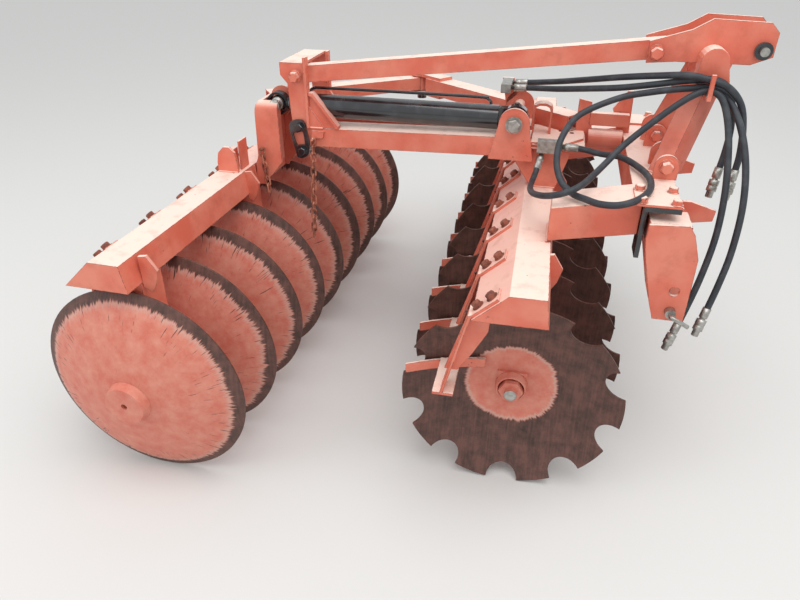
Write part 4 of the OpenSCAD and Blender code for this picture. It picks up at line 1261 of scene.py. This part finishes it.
class HARROW_OT_cylinder(bpy.types.Operator):
    """Adds the gland and the oil pipe of the cylinder"""

    bl_idname = "harrow.cylinder"
    bl_label = "Cylinder details"

    def execute(self, context):
        black = finishes(context)["black"]
        gland = [(0.0206, 0), (0.038, 0), (0.0418, 0.003), (0.0418, 0.016), (0.0402, 0.017), (0.0402, 0.02)]
        gland += [(0.0418, 0.021), (0.0418, 0.036), (0.0402, 0.038), (0.0206, 0.038)]
        gland = lathe(spot(0.203, 0.86, 0.985), (1, 0, 0), gland, 40, bored=True)
        piece("cylinder_gland", "cylinder_barrel", black, gland)
        path = [(0.262, 0.884, 1.01), (0.262, 0.896, 1.027), (0.275, 0.902, 1.034), (0.31, 0.903, 1.036)]
        path += [(0.6, 0.903, 1.038), (0.87, 0.903, 1.038), (0.9, 0.902, 1.034), (0.912, 0.896, 1.024)]
        path += [(0.913, 0.884, 1.008)]
        pipe = swept(smoothed([spot(*point) for point in path], 6), 0.0055)
        nut = [(0, 0), (0.011, 0), (0.011, 0.016), (0.008, 0.018), (0, 0.018)]
        nuts = [lathe(spot(x, 0.879, 1.003), (0, 0.55, 0.83), nut, 6) for x in (0.262, 0.913)]
        piece("cylinder_pipe", "cylinder_barrel", black, joined(pipe, *nuts), smooth=True)
        return {"FINISHED"}


class HARROW_OT_welds(bpy.types.Operator):
    """Lays the weld beads along the main seams"""

    bl_idname = "harrow.welds"
    bl_label = "Weld beads"

    def execute(self, context):
        enamel = finishes(context)["enamel"]
        radius = context.scene.harrow_sizes.bead / 2
        for body, lines in SEAMS.items():
            beads = [swept(between(spot(*a), spot(*b), BEAD_STEP), radius, 8, BEAD_RIPPLE) for a, b in lines]
            piece(f"{body}_weld_beads", body, enamel, joined(*beads), smooth=True)
        return {"FINISHED"}


class HARROW_OT_stage(bpy.types.Operator):
    """Lays the pale floor and hangs the soft studio light"""

    bl_idname = "harrow.stage"
    bl_label = "Floor and light"

    def execute(self, context):
        half = context.scene.harrow_sizes.floor / 2
        mesh = bpy.data.meshes.new("floor")
        corners = [(-half, -half, 0), (half, -half, 0), (half, half, 0), (-half, half, 0)]
        mesh.from_pydata(corners, [], [(0, 1, 2, 3)])
        floor = bpy.data.objects.new("floor", mesh)
        context.scene.collection.objects.link(floor)
        material, tree = blank("pale_matt_floor")
        shader = add(tree, "ShaderNodeBsdfDiffuse", {"Color": linear("#dcdbd8")})
        add(tree, "ShaderNodeOutputMaterial", {"Surface": shader.outputs[0]})
        mesh.materials.append(material)
        world = bpy.data.worlds.new("studio")
        world.use_nodes = True
        world.node_tree.nodes.clear()
        sky = add(world.node_tree, "ShaderNodeBackground", {"Color": linear("#f4f6f8"), "Strength": 0.9})
        add(world.node_tree, "ShaderNodeOutputWorld", {"Surface": sky.outputs[0]})
        context.scene.world = world
        for name, (place, size, power) in LAMPS.items():
            data = bpy.data.lights.new(name, "AREA")
            data.size = size
            data.energy = power
            lamp = bpy.data.objects.new(name, data)
            lamp.location = place
            lamp.rotation_euler = (LAMPS_AIM - Vector(place)).to_track_quat("-Z", "Y").to_euler()
            context.scene.collection.objects.link(lamp)
        context.scene.view_settings.view_transform = "Standard"
        return {"FINISHED"}


class HARROW_PT_panel(bpy.types.Panel):
    """Lists what dresses the harrow"""

    bl_idname = "HARROW_PT_panel"
    bl_label = "Harrow"
    bl_space_type = "VIEW_3D"
    bl_region_type = "UI"
    bl_category = "Harrow"

    def draw(self, context):
        for group in (context.scene.harrow_colours, context.scene.harrow_sizes):
            for name in group.__annotations__:
                self.layout.prop(group, name)
        for operator in OPERATORS:
            self.layout.operator(operator.bl_idname)


OPERATORS = (
    HARROW_OT_camera,
    HARROW_OT_hoses,
    HARROW_OT_ports,
    HARROW_OT_finishes,
    HARROW_OT_gang_bolts,
    HARROW_OT_pin_bolts,
    HARROW_OT_chains,
    HARROW_OT_stop_link,
    HARROW_OT_hitch_plates,
    HARROW_OT_clamps,
    HARROW_OT_pedestal_fittings,
    HARROW_OT_pin_handles,
    HARROW_OT_beam_lugs,
    HARROW_OT_front_collar,
    HARROW_OT_gooseneck,
    HARROW_OT_rod_pin,
    HARROW_OT_hitch_arms,
    HARROW_OT_strut_heads,
    HARROW_OT_mast_edges,
    HARROW_OT_scraper_arms,
    HARROW_OT_hanger_wedges,
    HARROW_OT_top_link_washer,
    HARROW_OT_cylinder,
    HARROW_OT_welds,
    HARROW_OT_stage,
)
CLASSES = (HarrowColours, HarrowSizes, *OPERATORS, HARROW_PT_panel)


def register():
    for made in CLASSES:
        bpy.utils.register_class(made)
    bpy.types.Scene.harrow_colours = PointerProperty(type=HarrowColours)
    bpy.types.Scene.harrow_sizes = PointerProperty(type=HarrowSizes)


def unregister():
    del bpy.types.Scene.harrow_colours
    del bpy.types.Scene.harrow_sizes
    for made in reversed(CLASSES):
        bpy.utils.unregister_class(made)


def main():
    register()
    bpy.ops.harrow.camera()
    bpy.ops.harrow.hoses()
    bpy.ops.harrow.ports()
    bpy.ops.harrow.finishes()
    bpy.ops.harrow.gang_bolts()
    bpy.ops.harrow.pin_bolts()
    bpy.ops.harrow.chains()
    bpy.ops.harrow.stop_link()
    bpy.ops.harrow.hitch_plates()
    bpy.ops.harrow.clamps()
    bpy.ops.harrow.pedestal_fittings()
    bpy.ops.harrow.pin_handles()
    bpy.ops.harrow.beam_lugs()
    bpy.ops.harrow.front_collar()
    bpy.ops.harrow.gooseneck()
    bpy.ops.harrow.rod_pin()
    bpy.ops.harrow.hitch_arms()
    bpy.ops.harrow.strut_heads()
    bpy.ops.harrow.mast_edges()
    bpy.ops.harrow.scraper_arms()
    bpy.ops.harrow.hanger_wedges()
    bpy.ops.harrow.top_link_washer()
    bpy.ops.harrow.cylinder()
    bpy.ops.harrow.welds()
    bpy.ops.harrow.stage()


if __name__ == "__main__":
    main()
